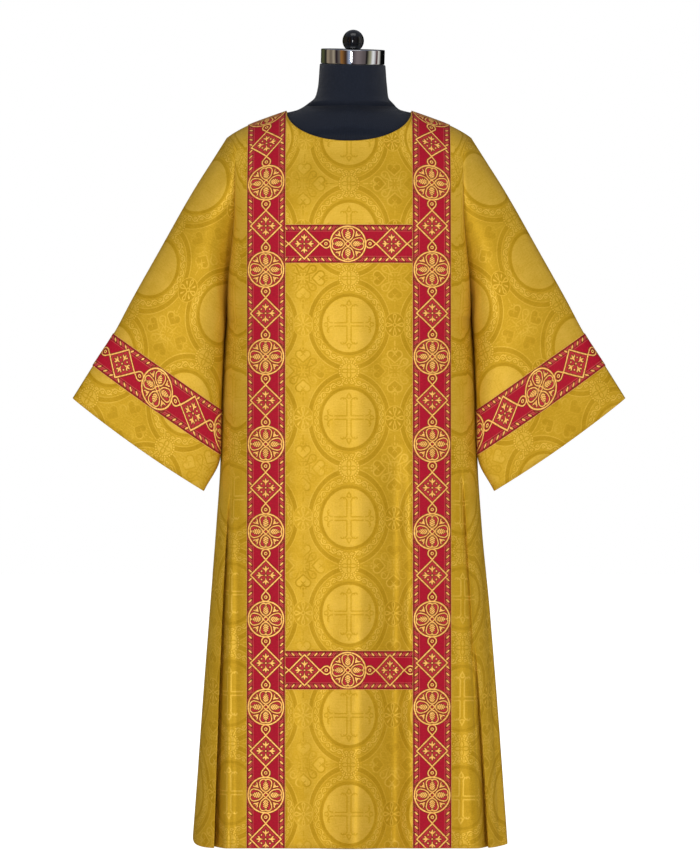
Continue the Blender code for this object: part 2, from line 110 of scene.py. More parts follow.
bodySections = [
    # height, half width, front depth, back depth, squareness
    (0.0040, 0.2800, 0.160, 0.152, 4.0),
    (0.2345, 0.2640, 0.147, 0.140, 3.8),
    (0.4055, 0.2510, 0.138, 0.130, 3.6),
    (0.5785, 0.2378, 0.131, 0.120, 3.4),
    (0.6755, 0.2315, 0.128, 0.115, 3.2),
    (0.7755, 0.2289, 0.126, 0.112, 3.1),
    (0.8655, 0.2256, 0.124, 0.110, 3.0),
    (0.9405, 0.2197, 0.123, 0.110, 3.0),
    (1.0195, 0.2155, 0.122, 0.110, 2.8),
    (1.0605, 0.2110, 0.121, 0.110, 2.7),
    (1.1355, 0.2045, 0.118, 0.109, 2.6),
    (1.2185, 0.2030, 0.111, 0.103, 2.5),
    (1.2475, 0.2085, 0.106, 0.098, 2.4),
    (1.2685, 0.2195, 0.100, 0.092, 2.4),
]

hangingFolds = [
    # panel, top height, arc at top, at hem, half width top, hem, rise top, hem, outer share
    ("front", 1.080, 0.014, 0.012, 0.054, 0.058, 0.003, 0.009, 0.9),
    ("front", 1.165, -0.092, -0.090, 0.030, 0.036, 0.001, 0.003, 1.0),
    ("front", 0.760, 0.084, 0.080, 0.030, 0.040, -0.005, -0.015, 0.8),
    ("front", 0.640, 0.030, 0.014, 0.020, 0.030, 0.000, 0.004, 1.0),
    ("front", 0.645, -0.2110, -0.2150, 0.012, 0.014, 0.003, 0.006, 1.0),
    ("front", 0.585, 0.205, 0.222, 0.020, 0.026, 0.002, 0.009, 1.0),
    ("front", 0.585, 0.284, 0.304, 0.016, 0.022, 0.002, 0.008, 1.0),
    ("front", 0.585, 0.318, 0.346, 0.020, 0.026, -0.004, -0.010, 1.0),
    ("back", 0.985, 0.020, 0.015, 0.040, 0.046, -0.004, -0.012, 0.8),
    ("back", 0.905, -0.085, -0.088, 0.032, 0.038, 0.003, 0.010, 1.0),
    ("back", 0.845, 0.100, 0.092, 0.032, 0.038, 0.003, 0.008, 1.2),
    ("back", 0.725, -0.212, -0.232, 0.018, 0.026, -0.006, -0.018, 0.5),
    ("back", 0.645, -0.262, -0.285, 0.020, 0.028, 0.003, 0.010, 1.0),
    ("back", 0.605, 0.262, 0.286, 0.020, 0.028, 0.003, 0.009, 1.0),
]

lapFolds = [
    # panel, top height, arc of the edge at top, at hem, width top, hem, depth top, hem, tuck
    ("front", 0.660, -0.2205, -0.2430, 0.018, 0.026, 0.012, 0.034, 0.004),
    ("front", 0.700, 0.2050, 0.2330, 0.014, 0.016, 0.013, 0.000, 0.002),
    ("front", 0.420, 0.2200, 0.2531, 0.018, 0.026, 0.004, 0.028, 0.003),
    ("back", 0.640, 0.2300, 0.2520, 0.020, 0.028, 0.014, 0.030, 0.004),
]

sleeveSections = [
    # top out, top height, underside out, underside height, half depth, forward, bluntness, bow
    (0.2784, 1.1739, 0.2215, 0.9205, 0.078, 0.004, 0.54, 0.0),
    (0.3390, 1.0659, 0.2232, 0.8949, 0.068, 0.016, 0.47, 0.0),
    (0.3910, 0.9723, 0.2250, 0.8571, 0.056, 0.029, 0.44, 0.0),
    (0.4216, 0.9147, 0.2278, 0.7779, 0.043, 0.036, 0.42, 0.0),
    (0.4583, 0.8571, 0.2296, 0.6969, 0.026, 0.044, 0.45, 0.002),
    (0.4941, 0.7995, 0.2590, 0.6335, 0.015, 0.048, 0.45, 0.005),
]
sleeve = {
    "bandStart": 4,  # the galloon lies between these sections
    "bandEnd": 5,
    "stepsASection": (8, 9, 9, 9, 9, 9),
    "grain": math.radians(33),  # the cuff's slope, which the pattern follows
}


def smoothThrough(knots, values, at):
    # A cubic through the values at the rising knots, which never swings past a neighbour.
    knots = np.asarray(knots, float)
    values = np.asarray(values, float)
    at = np.asarray(at, float)
    lane = (slice(None),) + (None,) * (values.ndim - 1)
    rise = np.diff(values, axis=0) / np.diff(knots)[lane]
    slope = np.zeros_like(values)
    slope[0] = rise[0]
    slope[-1] = rise[-1]
    before, after = rise[:-1], rise[1:]
    total = np.where(before * after > 0, before + after, 1.0)
    slope[1:-1] = np.where(before * after > 0, 2 * before * after / total, 0.0)
    left = np.clip(np.searchsorted(knots, at, side="right") - 1, 0, len(knots) - 2)
    width = np.diff(knots)[left]
    t = np.clip((at - knots[left]) / width, 0, 1)
    t = t.reshape(t.shape + (1,) * (values.ndim - 1))
    width = width.reshape(t.shape)
    return (
        (2 * t**3 - 3 * t**2 + 1) * values[left]
        + (t**3 - 2 * t**2 + t) * width * slope[left]
        + (3 * t**2 - 2 * t**3) * values[left + 1]
        + (t**3 - t**2) * width * slope[left + 1]
    )


def smoothStep(value):
    value = np.clip(value, 0.0, 1.0)
    return value * value * (3 - 2 * value)


def unit(vectors):
    return vectors / np.linalg.norm(vectors, axis=-1, keepdims=True)


def bodySection(height):
    # Half width, front depth, back depth and squareness of the body at each height.
    table = np.array(bodySections)
    return np.moveaxis(smoothThrough(table[:, 0], table[:, 1:], height), -1, 0)


def shoulderHeight(out):
    line = smoothThrough([row[0] for row in shoulderLine], [row[1] for row in shoulderLine], out)
    return line + garment["neckSlope"] * np.maximum(garment["bandInner"] - out, 0)


def topHeight(panel, out):
    # The neckline, then the shoulder line.
    inside = np.clip(out / garment["bandInner"], 0, 1)
    neckline = garment["neck"] - garment["neckDrop"][panel] * np.sqrt(1 - inside**2)
    return np.where(out < garment["bandInner"], neckline, shoulderHeight(out))


def fullDepth(panel, out, height):
    depth = bodySection(height)[1 if panel == "front" else 2]
    below = np.clip((shoulderHeight(out) - height) / garment["shoulderRound"][panel], 0, 1)
    return depth * np.sqrt(1 - (1 - below) ** 2)


def armholeDepth(panel, side, height):
    down = (garment["shoulder"] - height) / (garment["shoulder"] - garment["underarm"])
    down = np.clip(down, 0, 1)
    edge = bodySection(height)[0]
    hollow = 1 - garment["armholeHollow"][side] * smoothStep(down * garment["hollowDrop"])
    curve = (1 - down ** garment["armholeBend"]) ** garment["armholeFoot"]
    return fullDepth(panel, edge, height) * hollow * curve


def clothDepth(panel, side, out, height, level):
    # How far the cloth lies before or behind the side seams, at a way out and a height.
    halfWidth, _, _, square = bodySection(level)
    edge = armholeDepth(panel, side, level)
    angle = np.arcsin(np.clip(out / halfWidth, 0, 1) ** (square / 2))
    fall = np.clip(np.cos(angle), 0, 1) ** (2 / square)
    return edge + (fullDepth(panel, out, height) - edge) * fall


def levelsFrom(start, end, steps, crowd=""):
    # Heights from start to end, closer together at the one that is named.
    t = np.linspace(0, 1, steps + 1)
    if crowd == "start":
        t = 0.2 * t + 0.8 * (1 - np.cos(t * math.pi / 2))
    if crowd == "end":
        t = 0.2 * t + 0.8 * np.sin(t * math.pi / 2)
    return start + (end - start) * t


def armholeLevels():
    # Heights down the armhole, closest at the shoulder and at the underarm.
    bar, foot = garment["upperBar"], garment["upperBar"] - garment["bandWidth"]
    above, across, below = garment["armholeSteps"]
    upper = levelsFrom(garment["shoulder"], bar, above, "start")
    middle = levelsFrom(bar, foot, across)
    lower = levelsFrom(foot, garment["underarm"], below, "end")
    return np.concatenate([upper, middle[1:], lower[1:]])


def panelLevels():
    bar, foot = garment["lowerBar"], garment["lowerBar"] - garment["bandWidth"]
    above, across, below = garment["skirtSteps"]
    upper = levelsFrom(garment["underarm"], bar, above)
    middle = levelsFrom(bar, foot, across)
    lower = levelsFrom(foot, garment["hem"], below)
    return np.concatenate([armholeLevels(), upper[1:], middle[1:], lower[1:]])


def sideShares():
    # Shares of the way from the galloon to the side seam, closest where the deep fold hangs.
    at = np.linspace(0, 1, garment["crowdSteps"])
    need = 1 + garment["crowd"] * np.exp(-(((at - garment["crowdAt"]) / garment["crowdWide"]) ** 2))
    along = np.concatenate([[0], np.cumsum((need[1:] + need[:-1]) / 2)])
    return np.interp(np.linspace(0, along[-1], garment["sideSteps"] + 1), along, at)[1:]


def halfPanel(panel, side):
    # Points of half a panel, out from the centre line, before its folds.
    levels = panelLevels()
    turn = np.linspace(0, math.pi / 2, garment["neckSteps"] + 1)
    near = garment["bandInner"] * np.sin(turn)
    outer = garment["bandInner"] + garment["bandWidth"]
    band = np.linspace(garment["bandInner"], outer, garment["bandSteps"] + 1)[1:]
    near = np.concatenate([near, band])
    rows = []
    for level in levels:
        halfWidth, _, _, square = bodySection(level)
        start = math.asin((outer / halfWidth) ** (square / 2))
        # crowded where the section turns fast, then evened out along the cloth
        angle = np.linspace(start, math.pi / 2, garment["fineSteps"])
        out = halfWidth * np.sin(angle) ** (2 / square)
        out = np.concatenate([near, out[1:]])
        blend = smoothStep(1 - (garment["shoulder"] - level) / garment["topBlend"])
        height = level + (topHeight(panel, out) - garment["shoulder"]) * blend
        depth = clothDepth(panel, side, out, height, np.full(out.shape, level))
        if not rows:
            depth[garment["neckSteps"] :] = 0
        line = np.stack([side * out, facing[panel] * depth, height], axis=1)
        wide = line[len(near) - 1 :]
        arc = np.concatenate([[0], np.cumsum(np.linalg.norm(np.diff(wide, axis=0), axis=1))])
        spread = [np.interp(sideShares() * arc[-1], arc, wide[:, axis]) for axis in range(3)]
        rows.append(np.concatenate([line[: len(near)], np.stack(spread, axis=1)]))
    return np.array(rows)


def normalsOf(points, outward, closed=False):
    down = np.gradient(points, axis=0)
    if closed:
        across = np.roll(points, -1, axis=1) - np.roll(points, 1, axis=1)
    else:
        across = np.gradient(points, axis=1)
    return unit(np.cross(down, across) * outward)


def arcFromMiddle(points):
    middle = points.shape[1] // 2
    step = np.linalg.norm(np.diff(points[:, :, :2], axis=1), axis=2)
    arc = np.hstack([np.zeros((len(points), 1)), np.cumsum(step, axis=1)])
    return arc - arc[:, middle : middle + 1]


def foldRelief(panel, points):
    # How far each point stands out for the hanging folds, by its way round from the centre.
    arc = arcFromMiddle(points)
    height = points[:, :, 2]
    relief = np.zeros_like(height)
    for where, top, arcTop, arcHem, wideTop, wideHem, riseTop, riseHem, share in hangingFolds:
        if where != panel:
            continue
        down = np.clip((top - height) / (top - garment["hem"]), 0, 1)
        place = arcTop + (arcHem - arcTop) * down
        wide = wideTop + (wideHem - wideTop) * down
        rise = riseTop + (riseHem - riseTop) * down
        off = arc - place
        wide = np.where(off * arcTop > 0, wide * share, wide)
        off = np.clip(off / wide, -1, 1)
        opening = smoothStep((top - height) / garment["foldRise"])
        relief += rise * opening * (0.5 + 0.5 * np.cos(math.pi * off))
    fromSeam = np.minimum(arc - arc[:, :1], arc[:, -1:] - arc)
    return relief * smoothStep(fromSeam / garment["foldSeam"])


def lapShift(panel, points):
    # The shift of each point where a fold laps over its neighbour: out of sight under the
    # edge, and back up a steep wall.
    arc = arcFromMiddle(points)
    height = points[:, :, 2]
    steep = garment["lapWall"]
    shift = np.zeros(points.shape)
    for where, top, arcTop, arcHem, wideTop, wideHem, deepTop, deepHem, tuck in lapFolds:
        if where != panel:
            continue
        down = np.clip((top - height) / (top - garment["hem"]), 0, 1)
        edge = arcTop + (arcHem - arcTop) * down ** garment["lapBend"]
        wide = wideTop + (wideHem - wideTop) * down
        deep = deepTop + (deepHem - deepTop) * down
        deep *= smoothStep((top - height) / garment["foldRise"])
        way = math.copysign(1, arcTop)
        off = (arc - edge) * way
        slope = np.clip((off + wide) / (wide - steep), 0, 1) ** garment["lapHollow"]
        part = deep * np.where(off < -steep, slope, smoothStep(-off / steep))
        shift[:, :, 1] -= facing[panel] * part
        shift[:, :, 0] += way * tuck * part / max(deepTop, deepHem)
    return shift


def panelGrid(panel):
    # Outer points and normals of a panel, [row, column] from the top and from the viewer's left.
    left = halfPanel(panel, -1)[:, ::-1]
    right = halfPanel(panel, 1)[:, 1:]
    points = np.concatenate([left, right], axis=1)
    normal = normalsOf(points, -facing[panel])
    shift = lapShift(panel, points)
    points += normal * foldRelief(panel, points)[:, :, None] + shift
    normal = normalsOf(points, -facing[panel])

    # Where the panels meet, both have one normal in the seam's own plane.
    skirt = slice(len(armholeLevels()) - 1, None)
    wing = garment["sideSteps"] + garment["bandSteps"]
    onSeam = np.zeros(points.shape[:2], bool)
    onSeam[0] = True
    onSeam[0, wing + 1 : -wing - 1] = False
    onSeam[skirt, 0] = True
    onSeam[skirt, -1] = True
    normal[onSeam, 1] = 0
    normal = unit(normal)
    points[onSeam, 1] = facing[panel] * garment["seamGap"] / 2

    # the hem rounds up at the side seams, and sags a little before them
    arc = arcFromMiddle(points)
    fromSeam = np.minimum(arc - arc[:, :1], arc[:, -1:] - arc)
    near = np.clip(1 - fromSeam / garment["cornerWide"], 0, 1) ** 2
    low = np.clip(1 - (points[:, :, 2] - garment["hem"]) / garment["cornerTall"], 0, 1)
    sag = smoothStep((garment["sagFrom"] - fromSeam) / garment["sagOver"])
    bow = garment["hemBow"] - garment["hemSag"] * sag
    points[:, :, 2] += (garment["cornerRise"] * near + bow) * low
    return points, normal


def sleeveGrid(side):
    # Outer points and normals of a sleeve, [row, round] from the armhole to the cuff. The
    # ring starts at the seam under the arm and goes up the front, then down the back.
    levels = armholeLevels()
    down = (garment["shoulder"] - levels) / (garment["shoulder"] - garment["underarm"])
    turn = np.arccos(1 - 2 * down)
    turn = np.concatenate([turn[::-1], -turn[1:-1]])
    levels = np.concatenate([levels[::-1], levels[1:-1]])

    edge = bodySection(levels)[0] + garment["seamGap"]
    depth = np.where(
        turn >= 0, -armholeDepth("front", side, levels), armholeDepth("back", side, levels)
    )
    blend = smoothStep(1 - (garment["shoulder"] - levels) / garment["topBlend"])
    rise = (shoulderHeight(edge) - garment["shoulder"]) * blend
    rings = [np.stack([edge, depth, levels + rise], axis=1)]
    along = (1 - np.cos(turn)) / 2
    for topOut, top, underOut, under, halfDepth, forward, blunt, bow in sleeveSections:
        reach = math.hypot(underOut - topOut, under - top)
        bulge = 4 * bow * along * (1 - along) / reach
        out = topOut + (underOut - topOut) * along + (top - under) * bulge
        height = top + (under - top) * along + (underOut - topOut) * bulge
        swell = halfDepth * np.abs(np.sin(turn)) ** blunt * np.sign(np.sin(turn))
        rings.append(np.stack([out, -forward - swell, height], axis=1))
    places = [np.array([0.0])]
    for number, steps in enumerate(sleeve["stepsASection"]):
        places.append(np.linspace(number, number + 1, steps + 1)[1:])
    points = smoothThrough(range(len(rings)), np.array(rings), np.concatenate(places))
    normal = normalsOf(points, 1, closed=True)
    normal[0, :, 0] = 0
    normal = unit(normal)
    mirror = np.array([side, 1, 1])
    return points * mirror, normal * mirror


def rimOf(points, normal, thick, edgeward):
    # A rounded edge: three points over each one of a loop, from the outer face to the inner.
    rounds = []
    for turn in (0.25, 0.5, 0.75):
        angle = turn * math.pi
        depth = thick[:, None] * (1 - math.cos(angle)) / 2
        bulge = garment["rimBulge"] * thick[:, None] * math.sin(angle)
        rounds.append(points - normal * depth + edgeward * bulge)
    return rounds


def addThing(name, mesh):
    # Puts a mesh in the scene, as the one thing that is selected.
    thing = bpy.data.objects.new(name, mesh)
    bpy.context.scene.collection.objects.link(thing)
    bpy.context.view_layer.objects.active = thing
    thing.select_set(True)
    return thing


def setUv(mesh, name, places):
    layer = mesh.uv_layers.new(name=name)
    layer.data.foreach_set("uv", places.astype(np.float32).ravel())


def clothShell(name, outer, normal, thick, uv, closed=False, sheen=None):
    # A thin closed wall on a grid of points, with rounded edges. Its UVs are metres of cloth.
    rows, columns = outer.shape[:2]
    thick = np.broadcast_to(thick, outer.shape[:2])
    place = np.arange(rows * columns).reshape(rows, columns)
    under = place + rows * columns
    points = [outer.reshape(-1, 3), (outer - normal * thick[..., None]).reshape(-1, 3)]
    if closed:
        loops = [(place[0], (-1, 0)), (place[-1], (1, 0))]
    else:
        rim = np.concatenate([place[0, :-1], place[:-1, -1], place[-1, :0:-1], place[:0:-1, 0]])
        loops = [(rim, None)]
    flatOuter, flatNormal = outer.reshape(-1, 3), normal.reshape(-1, 3)
    flatThick = thick.reshape(-1)
    faces, corners = [], []  # corners hold the grid place that each face corner takes its UV from
    count = 2 * rows * columns

    def addFaces(quads, source):
        faces.append(quads)
        corners.append(source)

    def quadsOf(grid, wrap):
        if wrap:
            grid = np.hstack([grid, grid[:, :1]])
        return np.stack(
            [grid[:-1, :-1], grid[1:, :-1], grid[1:, 1:], grid[:-1, 1:]], axis=2
        ).reshape(-1, 4)

    seam = np.arange(columns + 1)[None, :] + np.arange(rows)[:, None] * (columns + 1)
    ids = seam if closed else place
    uvQuads = quadsOf(ids, False)
    addFaces(quadsOf(place, closed), uvQuads)
    addFaces(quadsOf(under, closed)[:, ::-1], uvQuads[:, ::-1])
    for loop, way in loops:
        around = np.roll(loop, -1)
        if way is None:
            ahead = unit(flatOuter[around] - flatOuter[np.roll(loop, 1)])
            edgeward = np.cross(ahead, flatNormal[loop])
            middle = flatOuter.mean(axis=0)
            if np.einsum("ij,ij->", edgeward, flatOuter[loop] - middle) < 0:
                edgeward = -edgeward
        else:
            inner = outer[1] if way[0] < 0 else outer[-2]
            edgeward = unit(flatOuter[loop] - inner)
        edgeward = edgeward - flatNormal[loop] * np.einsum(
            "ij,ij->i", edgeward, flatNormal[loop]
        )[:, None]
        edgeward = unit(edgeward)
        ladder = [loop]
        for ring in rimOf(flatOuter[loop], flatNormal[loop], flatThick[loop], edgeward):
            points.append(ring)
            ladder.append(np.arange(count, count + len(loop)))
            count += len(loop)
        ladder.append(loop + rows * columns)
        if closed:
            uvLoop = seam[0] if way[0] < 0 else seam[-1]
            uvNow, uvNext = uvLoop[:-1], uvLoop[1:]
        else:
            uvNow, uvNext = loop, around
        for upper, lower in zip(ladder, ladder[1:]):
            quad = np.stack([upper, np.roll(upper, -1), np.roll(lower, -1), lower], axis=1)
            addFaces(quad, np.stack([uvNow, uvNext, uvNext, uvNow], axis=1))
    sources = np.concatenate(corners).reshape(-1)
    mesh = bpy.data.meshes.new(name)
    mesh.from_pydata(np.concatenate(points).tolist(), [], np.concatenate(faces).tolist())
    setUv(mesh, "cloth", uv.reshape(-1, 2)[sources])
    if sheen is not None:
        setUv(mesh, "sheen", sheen.reshape(-1, 2)[sources])
    mesh.uv_layers.active_index = 0
    thing = addThing(name, mesh)
    bpy.ops.object.mode_set(mode="EDIT")
    bpy.ops.mesh.select_all(action="SELECT")
    bpy.ops.mesh.normals_make_consistent(inside=False)
    bpy.ops.object.mode_set(mode="OBJECT")
    bpy.ops.object.shade_smooth()
    bpy.ops.object.select_all(action="DESELECT")
    return thing


def finishPiece(thing, node, material):
    thing.data.materials.clear()
    thing.data.materials.append(material)
    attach(thing, "root")
    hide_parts(node)
    return thing


# Where the woven figures lie: heights and places on the cloth as it hangs.
figures = {
    "roundelRise": 0.1717,  # from one roundel of the damask to the next, up the cloth
    "roundelHeights": (0.0636, 0.2374, 0.4183, 0.5849, 0.7640, 0.9289, 1.0937),
    "sideShift": {-1: (0.052, 0.037), 1: (-0.045, 0.028)},  # outside the uprights
    "sleeveRoundel": {-1: (-0.2263, 0.9530), 1: (0.2164, 0.9680)},
    "galloonRepeat": 0.1548,
    "circleHeights": (0.0973, 1.1811),  # of the lowest and highest circle on an upright
    "circleSteps": 7,
    "sleeveCircle": 0.3425,  # out from the centre
    "barShift": 0.0018,  # of a bar's middle circle
}


def panelUv(points):
    # Metres of cloth: across from the centre line, and up from the hem.
    step = np.linalg.norm(np.diff(points, axis=1), axis=2)
    across = np.hstack([np.zeros((len(points), 1)), np.cumsum(step, axis=1)])
    across -= across[:, points.shape[1] // 2][:, None]
    reach = np.linalg.norm(np.diff(points, axis=0), axis=2)
    slip = np.diff(across, axis=0)
    rise = np.sqrt(np.maximum(reach**2 - slip**2, 0))
    up = np.vstack([np.cumsum(rise[::-1], axis=0)[::-1], np.zeros((1, points.shape[1]))])
    up += garment["hem"]
    heights = np.array(figures["roundelHeights"])
    number = np.interp(up, heights, np.arange(len(heights)))
    pitch = figures["roundelRise"]
    number = np.where(up < heights[0], (up - heights[0]) / pitch, number)
    number = np.where(up > heights[-1], len(heights) - 1 + (up - heights[-1]) / pitch, number)
    up = number * pitch
    # the sides were cut with the figure in another place, and the change is under the galloon
    wing = garment["sideSteps"] + garment["bandSteps"] // 2
    for side, columns in ((-1, slice(0, wing)), (1, slice(-wing, None))):
        across[:, columns] += figures["sideShift"][side][0]
        up[:, columns] -= figures["sideShift"][side][1]
    return np.stack([across, up], axis=2)


def sleeveUv(points, side):
    # Metres of cloth along the sleeve's own grain, from the top fold; it breaks at the seam.
    ring = np.concatenate([points, points[:, :1]], axis=1)
    fold = len(armholeLevels()) - 1
    lean = sleeve["grain"]
    down = ring @ np.array([side * math.sin(lean), 0, -math.cos(lean)])
    step = np.linalg.norm(np.diff(ring, axis=1), axis=2)
    slip = np.diff(down, axis=1)
    inward = np.sqrt(np.maximum(step**2 - slip**2, 0))
    across = np.hstack([np.zeros((len(ring), 1)), np.cumsum(inward, axis=1)])
    outAxis = np.array([side * math.cos(lean), 0, math.sin(lean)])
    across += (ring[:, fold] @ outAxis - across[:, fold])[:, None]
    uv = np.stack([across, -down], axis=2)
    mark = np.array(figures["sleeveRoundel"][side])
    front = points[:, : fold + 1, [0, 2]] - mark
    row, column = np.unravel_index(np.argmin((front**2).sum(axis=2)), front.shape[:2])
    return uv - uv[row, column]


def bandUv(points, kind):
    # Across the galloon from its middle, and along it from a circle of its figure.
    if kind == "round":
        points = np.concatenate([points, points[:, :1]], axis=1)
    fall = np.linalg.norm(np.diff(points, axis=0), axis=2)
    reach = np.linalg.norm(np.diff(points, axis=1), axis=2)
    down = np.vstack([np.zeros((1, points.shape[1])), np.cumsum(fall, axis=0)])
    right = np.hstack([np.zeros((len(points), 1)), np.cumsum(reach, axis=1)])
    if kind == "upright":
        up = (down[-1:] - down).mean(axis=1)
        height = points[:, :, 2].mean(axis=1)
        low, high = (np.interp(h, height[::-1], up[::-1]) for h in figures["circleHeights"])
        along = (up - low) / (high - low) * figures["circleSteps"] * figures["galloonRepeat"]
        across = (right / right[:, -1:] - 0.5) * garment["bandWidth"]
        return np.stack([across, np.broadcast_to(along[:, None], right.shape)], axis=2)
    along = right.mean(axis=0)
    if kind == "bar":
        start = along[len(along) // 2] - figures["barShift"]
    else:
        fold = len(armholeLevels()) - 1
        middle = np.abs(points[len(points) // 2, : fold + 1, 0])
        start = np.interp(figures["sleeveCircle"], middle, along[: fold + 1])
    across = (0.5 - down / down[-1:]) * garment["bandWidth"]
    return np.stack([across, np.broadcast_to(along - start, across.shape)], axis=2)


class Field:
    # A number that varies over a surface. Sums, products and the rest become Math nodes, so a
    # woven figure can be written as distances to its lines, in millimetres on its chart.
    def __init__(self, tree, socket):
        self.tree = tree
        self.socket = socket

    def math(self, operation, *others, **settings):
        inputs = (self, *others)
        return addNode(self.tree, "ShaderNodeMath", inputs, operation=operation, **settings)

    def __add__(self, other):
        return self.math("ADD", other)

    def __sub__(self, other):
        return self.math("SUBTRACT", other)

    def __mul__(self, other):
        return self.math("MULTIPLY", other)

    def __truediv__(self, other):
        return self.math("DIVIDE", other)

    def __rsub__(self, other):
        return self.math("MULTIPLY_ADD", -1.0, other)

    def __abs__(self):
        return self.math("ABSOLUTE")


def addNode(tree, kind, inputs=(), output=0, **settings):
    # One node with its settings. Its inputs are values, sockets or fields, by place or by name.
    node = tree.nodes.new(kind)
    for name, value in settings.items():
        setattr(node, name, value)
    for key, value in inputs.items() if isinstance(inputs, dict) else enumerate(inputs):
        if isinstance(value, Field):
            tree.links.new(value.socket, node.inputs[key])
        else:
            node.inputs[key].default_value = value
    return Field(tree, node.outputs[output])


def hexColour(text):
    # A linear colour from its sRGB hex value.
    shares = [int(text[start : start + 2], 16) / 255 for start in (1, 3, 5)]
    linear = [c / 12.92 if c <= 0.04045 else ((c + 0.055) / 1.055) ** 2.4 for c in shares]
    return (*linear, 1.0)


def low(first, second):
    return first.math("MINIMUM", second)


def high(first, second):
    return first.math("MAXIMUM", second)


def far(x, y):
    return y.math("MULTIPLY_ADD", y, x * x).math("SQRT")


def inside(distance, soft):
    # 1 within a shape and 0 outside, going over across the soft width.
    return distance.math("MULTIPLY_ADD", -1.0 / soft, 0.5, use_clamp=True)


def laid(under, distance, value, soft):
    # A value painted over another one wherever the distance is below nought.
    return (value - under).math("MULTIPLY_ADD", inside(distance, soft), under)


def drop(along, across, radius, lean):
    # Distance to a drop round the origin that comes to a point along the first axis.
    lean = math.radians(lean)
    past = high(along * math.cos(lean) - across * math.sin(lean), 0.0)
    back = along - past * math.cos(lean)
    return far(back, across + past * math.sin(lean)) - radius


def newMaterial(name, **values):
    # A Principled material with its steady values set on the shader itself.
    material = bpy.data.materials.new(name)
    material.use_nodes = True
    tree = material.node_tree
    shader = tree.nodes["Principled BSDF"]
    for key, value in values.items():
        shader.inputs[key.replace("_", " ")].default_value = value
    return material, tree, shader


def clothPlace(tree):
    # Millimetres across and along the cloth, from the UV map.
    uv = addNode(tree, "ShaderNodeUVMap", uv_map="cloth")
    split = addNode(tree, "ShaderNodeSeparateXYZ", (uv,))
    across = split * 1000.0
    along = Field(tree, split.socket.node.outputs[1]) * 1000.0
    return uv, across, along


# Damask, satin on a matt ground: the figure shines from the front, as painted light in its colour
# as well as in its gloss, and goes dark at the sides as painted shade.
# The numbers in its figures, and in the galloon's, are millimetres on the weaver's chart.
damaskWeave = {  # millimetres
    "halfWide": 81.5,  # the figure mirrors about each roundel, both ways
    "halfTall": 85.85,
    "discSquash": 0.92,
    "disc": 51.5,
    "discRing": 57.0,
    "vineSquash": 0.89,
    "vineMiddle": 66.0,
    "vineReach": 7.4,
    "vineRepeat": 25.2,
    "ringSquash": 0.86,
    "ring": 75.5,
    "ringEdge": 85.5,
    "beadRing": 16.9,
    "beadEdge": 19.2,
    "roundel": 14.2,
    "rosetteSquash": 0.78,
    "rosette": 22.0,
    "line": 1.15,  # half a drawn line; the real ones are some 1 mm, too fine to show
    "soft": 1.5,
    "thread": 2.6,  # real threads lie 0.4 mm apart; drawn coarser so that they show
    "slub": 9.0,
    "shineGround": 0.34,
    "shineFigure": 0.52,
    "roughGround": 0.54,
    "roughFigure": 0.44,
    "crossShare": 0.9,  # the cross's lines are this much of the others
    "paintedLightFrom": 72.0,  # beyond this line, which wanders, the figure is painted as lit from the other side: painted light and shade
    "paintedLightWander": 150.0,
    "paintedLightReach": 36.0,
    "paintedLightSoft": 30.0,
    "plain": 0.75,  # how much of the fine ground figure shows, in patches
    "plainSwing": 2.6,
    "plainRange": (0.25, 1.2),
    "plainFaint": 0.3,  # less of it where the crosses are faint too
    "slubShare": 0.26,  # how much each unevenness of the threads changes the colour
    "speckShare": 0.34,
    "cloudShare": 0.34,
}
damaskColours = {"dark": "#A47C08", "middle": "#C69C25", "light": "#E9C053"}


def crossLines(x, y, cut):
    # The outlined cross on a roundel: double lines, with an opened lily at each end.
    line = cut["line"] * cut["crossShare"]
    upright = high(abs(x - 3.7) - line, y - 30.0)
    arm = high(abs(y - 3.1) - line, x - 26.0)
    lines = low(high(upright, 3.1 - y), high(arm, 3.7 - x))
    major, minor = high(x - 2.0, y), low(x, y)
    petal = abs(far(minor - 11.6, major - 28.0) - 8.3) - line
    petal = high(high(petal, minor - 12.8), 27.0 - major)
    hook = high(abs(far(minor - 12.0, major - 33.6) - 2.6) - line, 33.0 - major)
    tip = abs(drop(major - 38.6, minor, 3.3, 33.0)) - line
    tip = low(tip, high(abs(minor - (38.6 - major) * 0.9 - 3.0) - line, abs(major - 36.6) - 2.4))
    return low(low(lines, petal), low(high(tip, 34.6 - major), hook))


def vineLines(x, y, cut):
    # A scroll that winds along between the two rings, with a leaf in each bend.
    turns = round(2 * math.pi * cut["vineMiddle"] / cut["vineRepeat"] / 4) * 4
    repeat = 2 * math.pi * cut["vineMiddle"] / turns
    radius = far(x / cut["vineSquash"], y) - cut["vineMiddle"]
    along = (x / cut["vineSquash"]).math("ARCTAN2", y) * cut["vineMiddle"]
    along = along.math("WRAP", repeat / 2, -repeat / 2)
    radius = radius * along.math("SIGN")
    along = abs(along)
    wave = (along * (2 * math.pi / repeat)).math("SINE") * 4.4
    stem = abs(radius - wave) - cut["line"]
    leaf = abs(drop(along - repeat * 0.20, abs(radius + 1.6), 1.9, 26.0)) - cut["line"] * 0.7
    sprout = drop(repeat * 0.46 - along, abs(radius - 3.0 - along * 0.12), 1.3, 22.0)
    vein = high(abs(radius - wave * 0.3 - 3.4) - 0.7, abs(along - repeat * 0.36) - 2.6)
    return low(low(stem, leaf), low(sprout, vein))


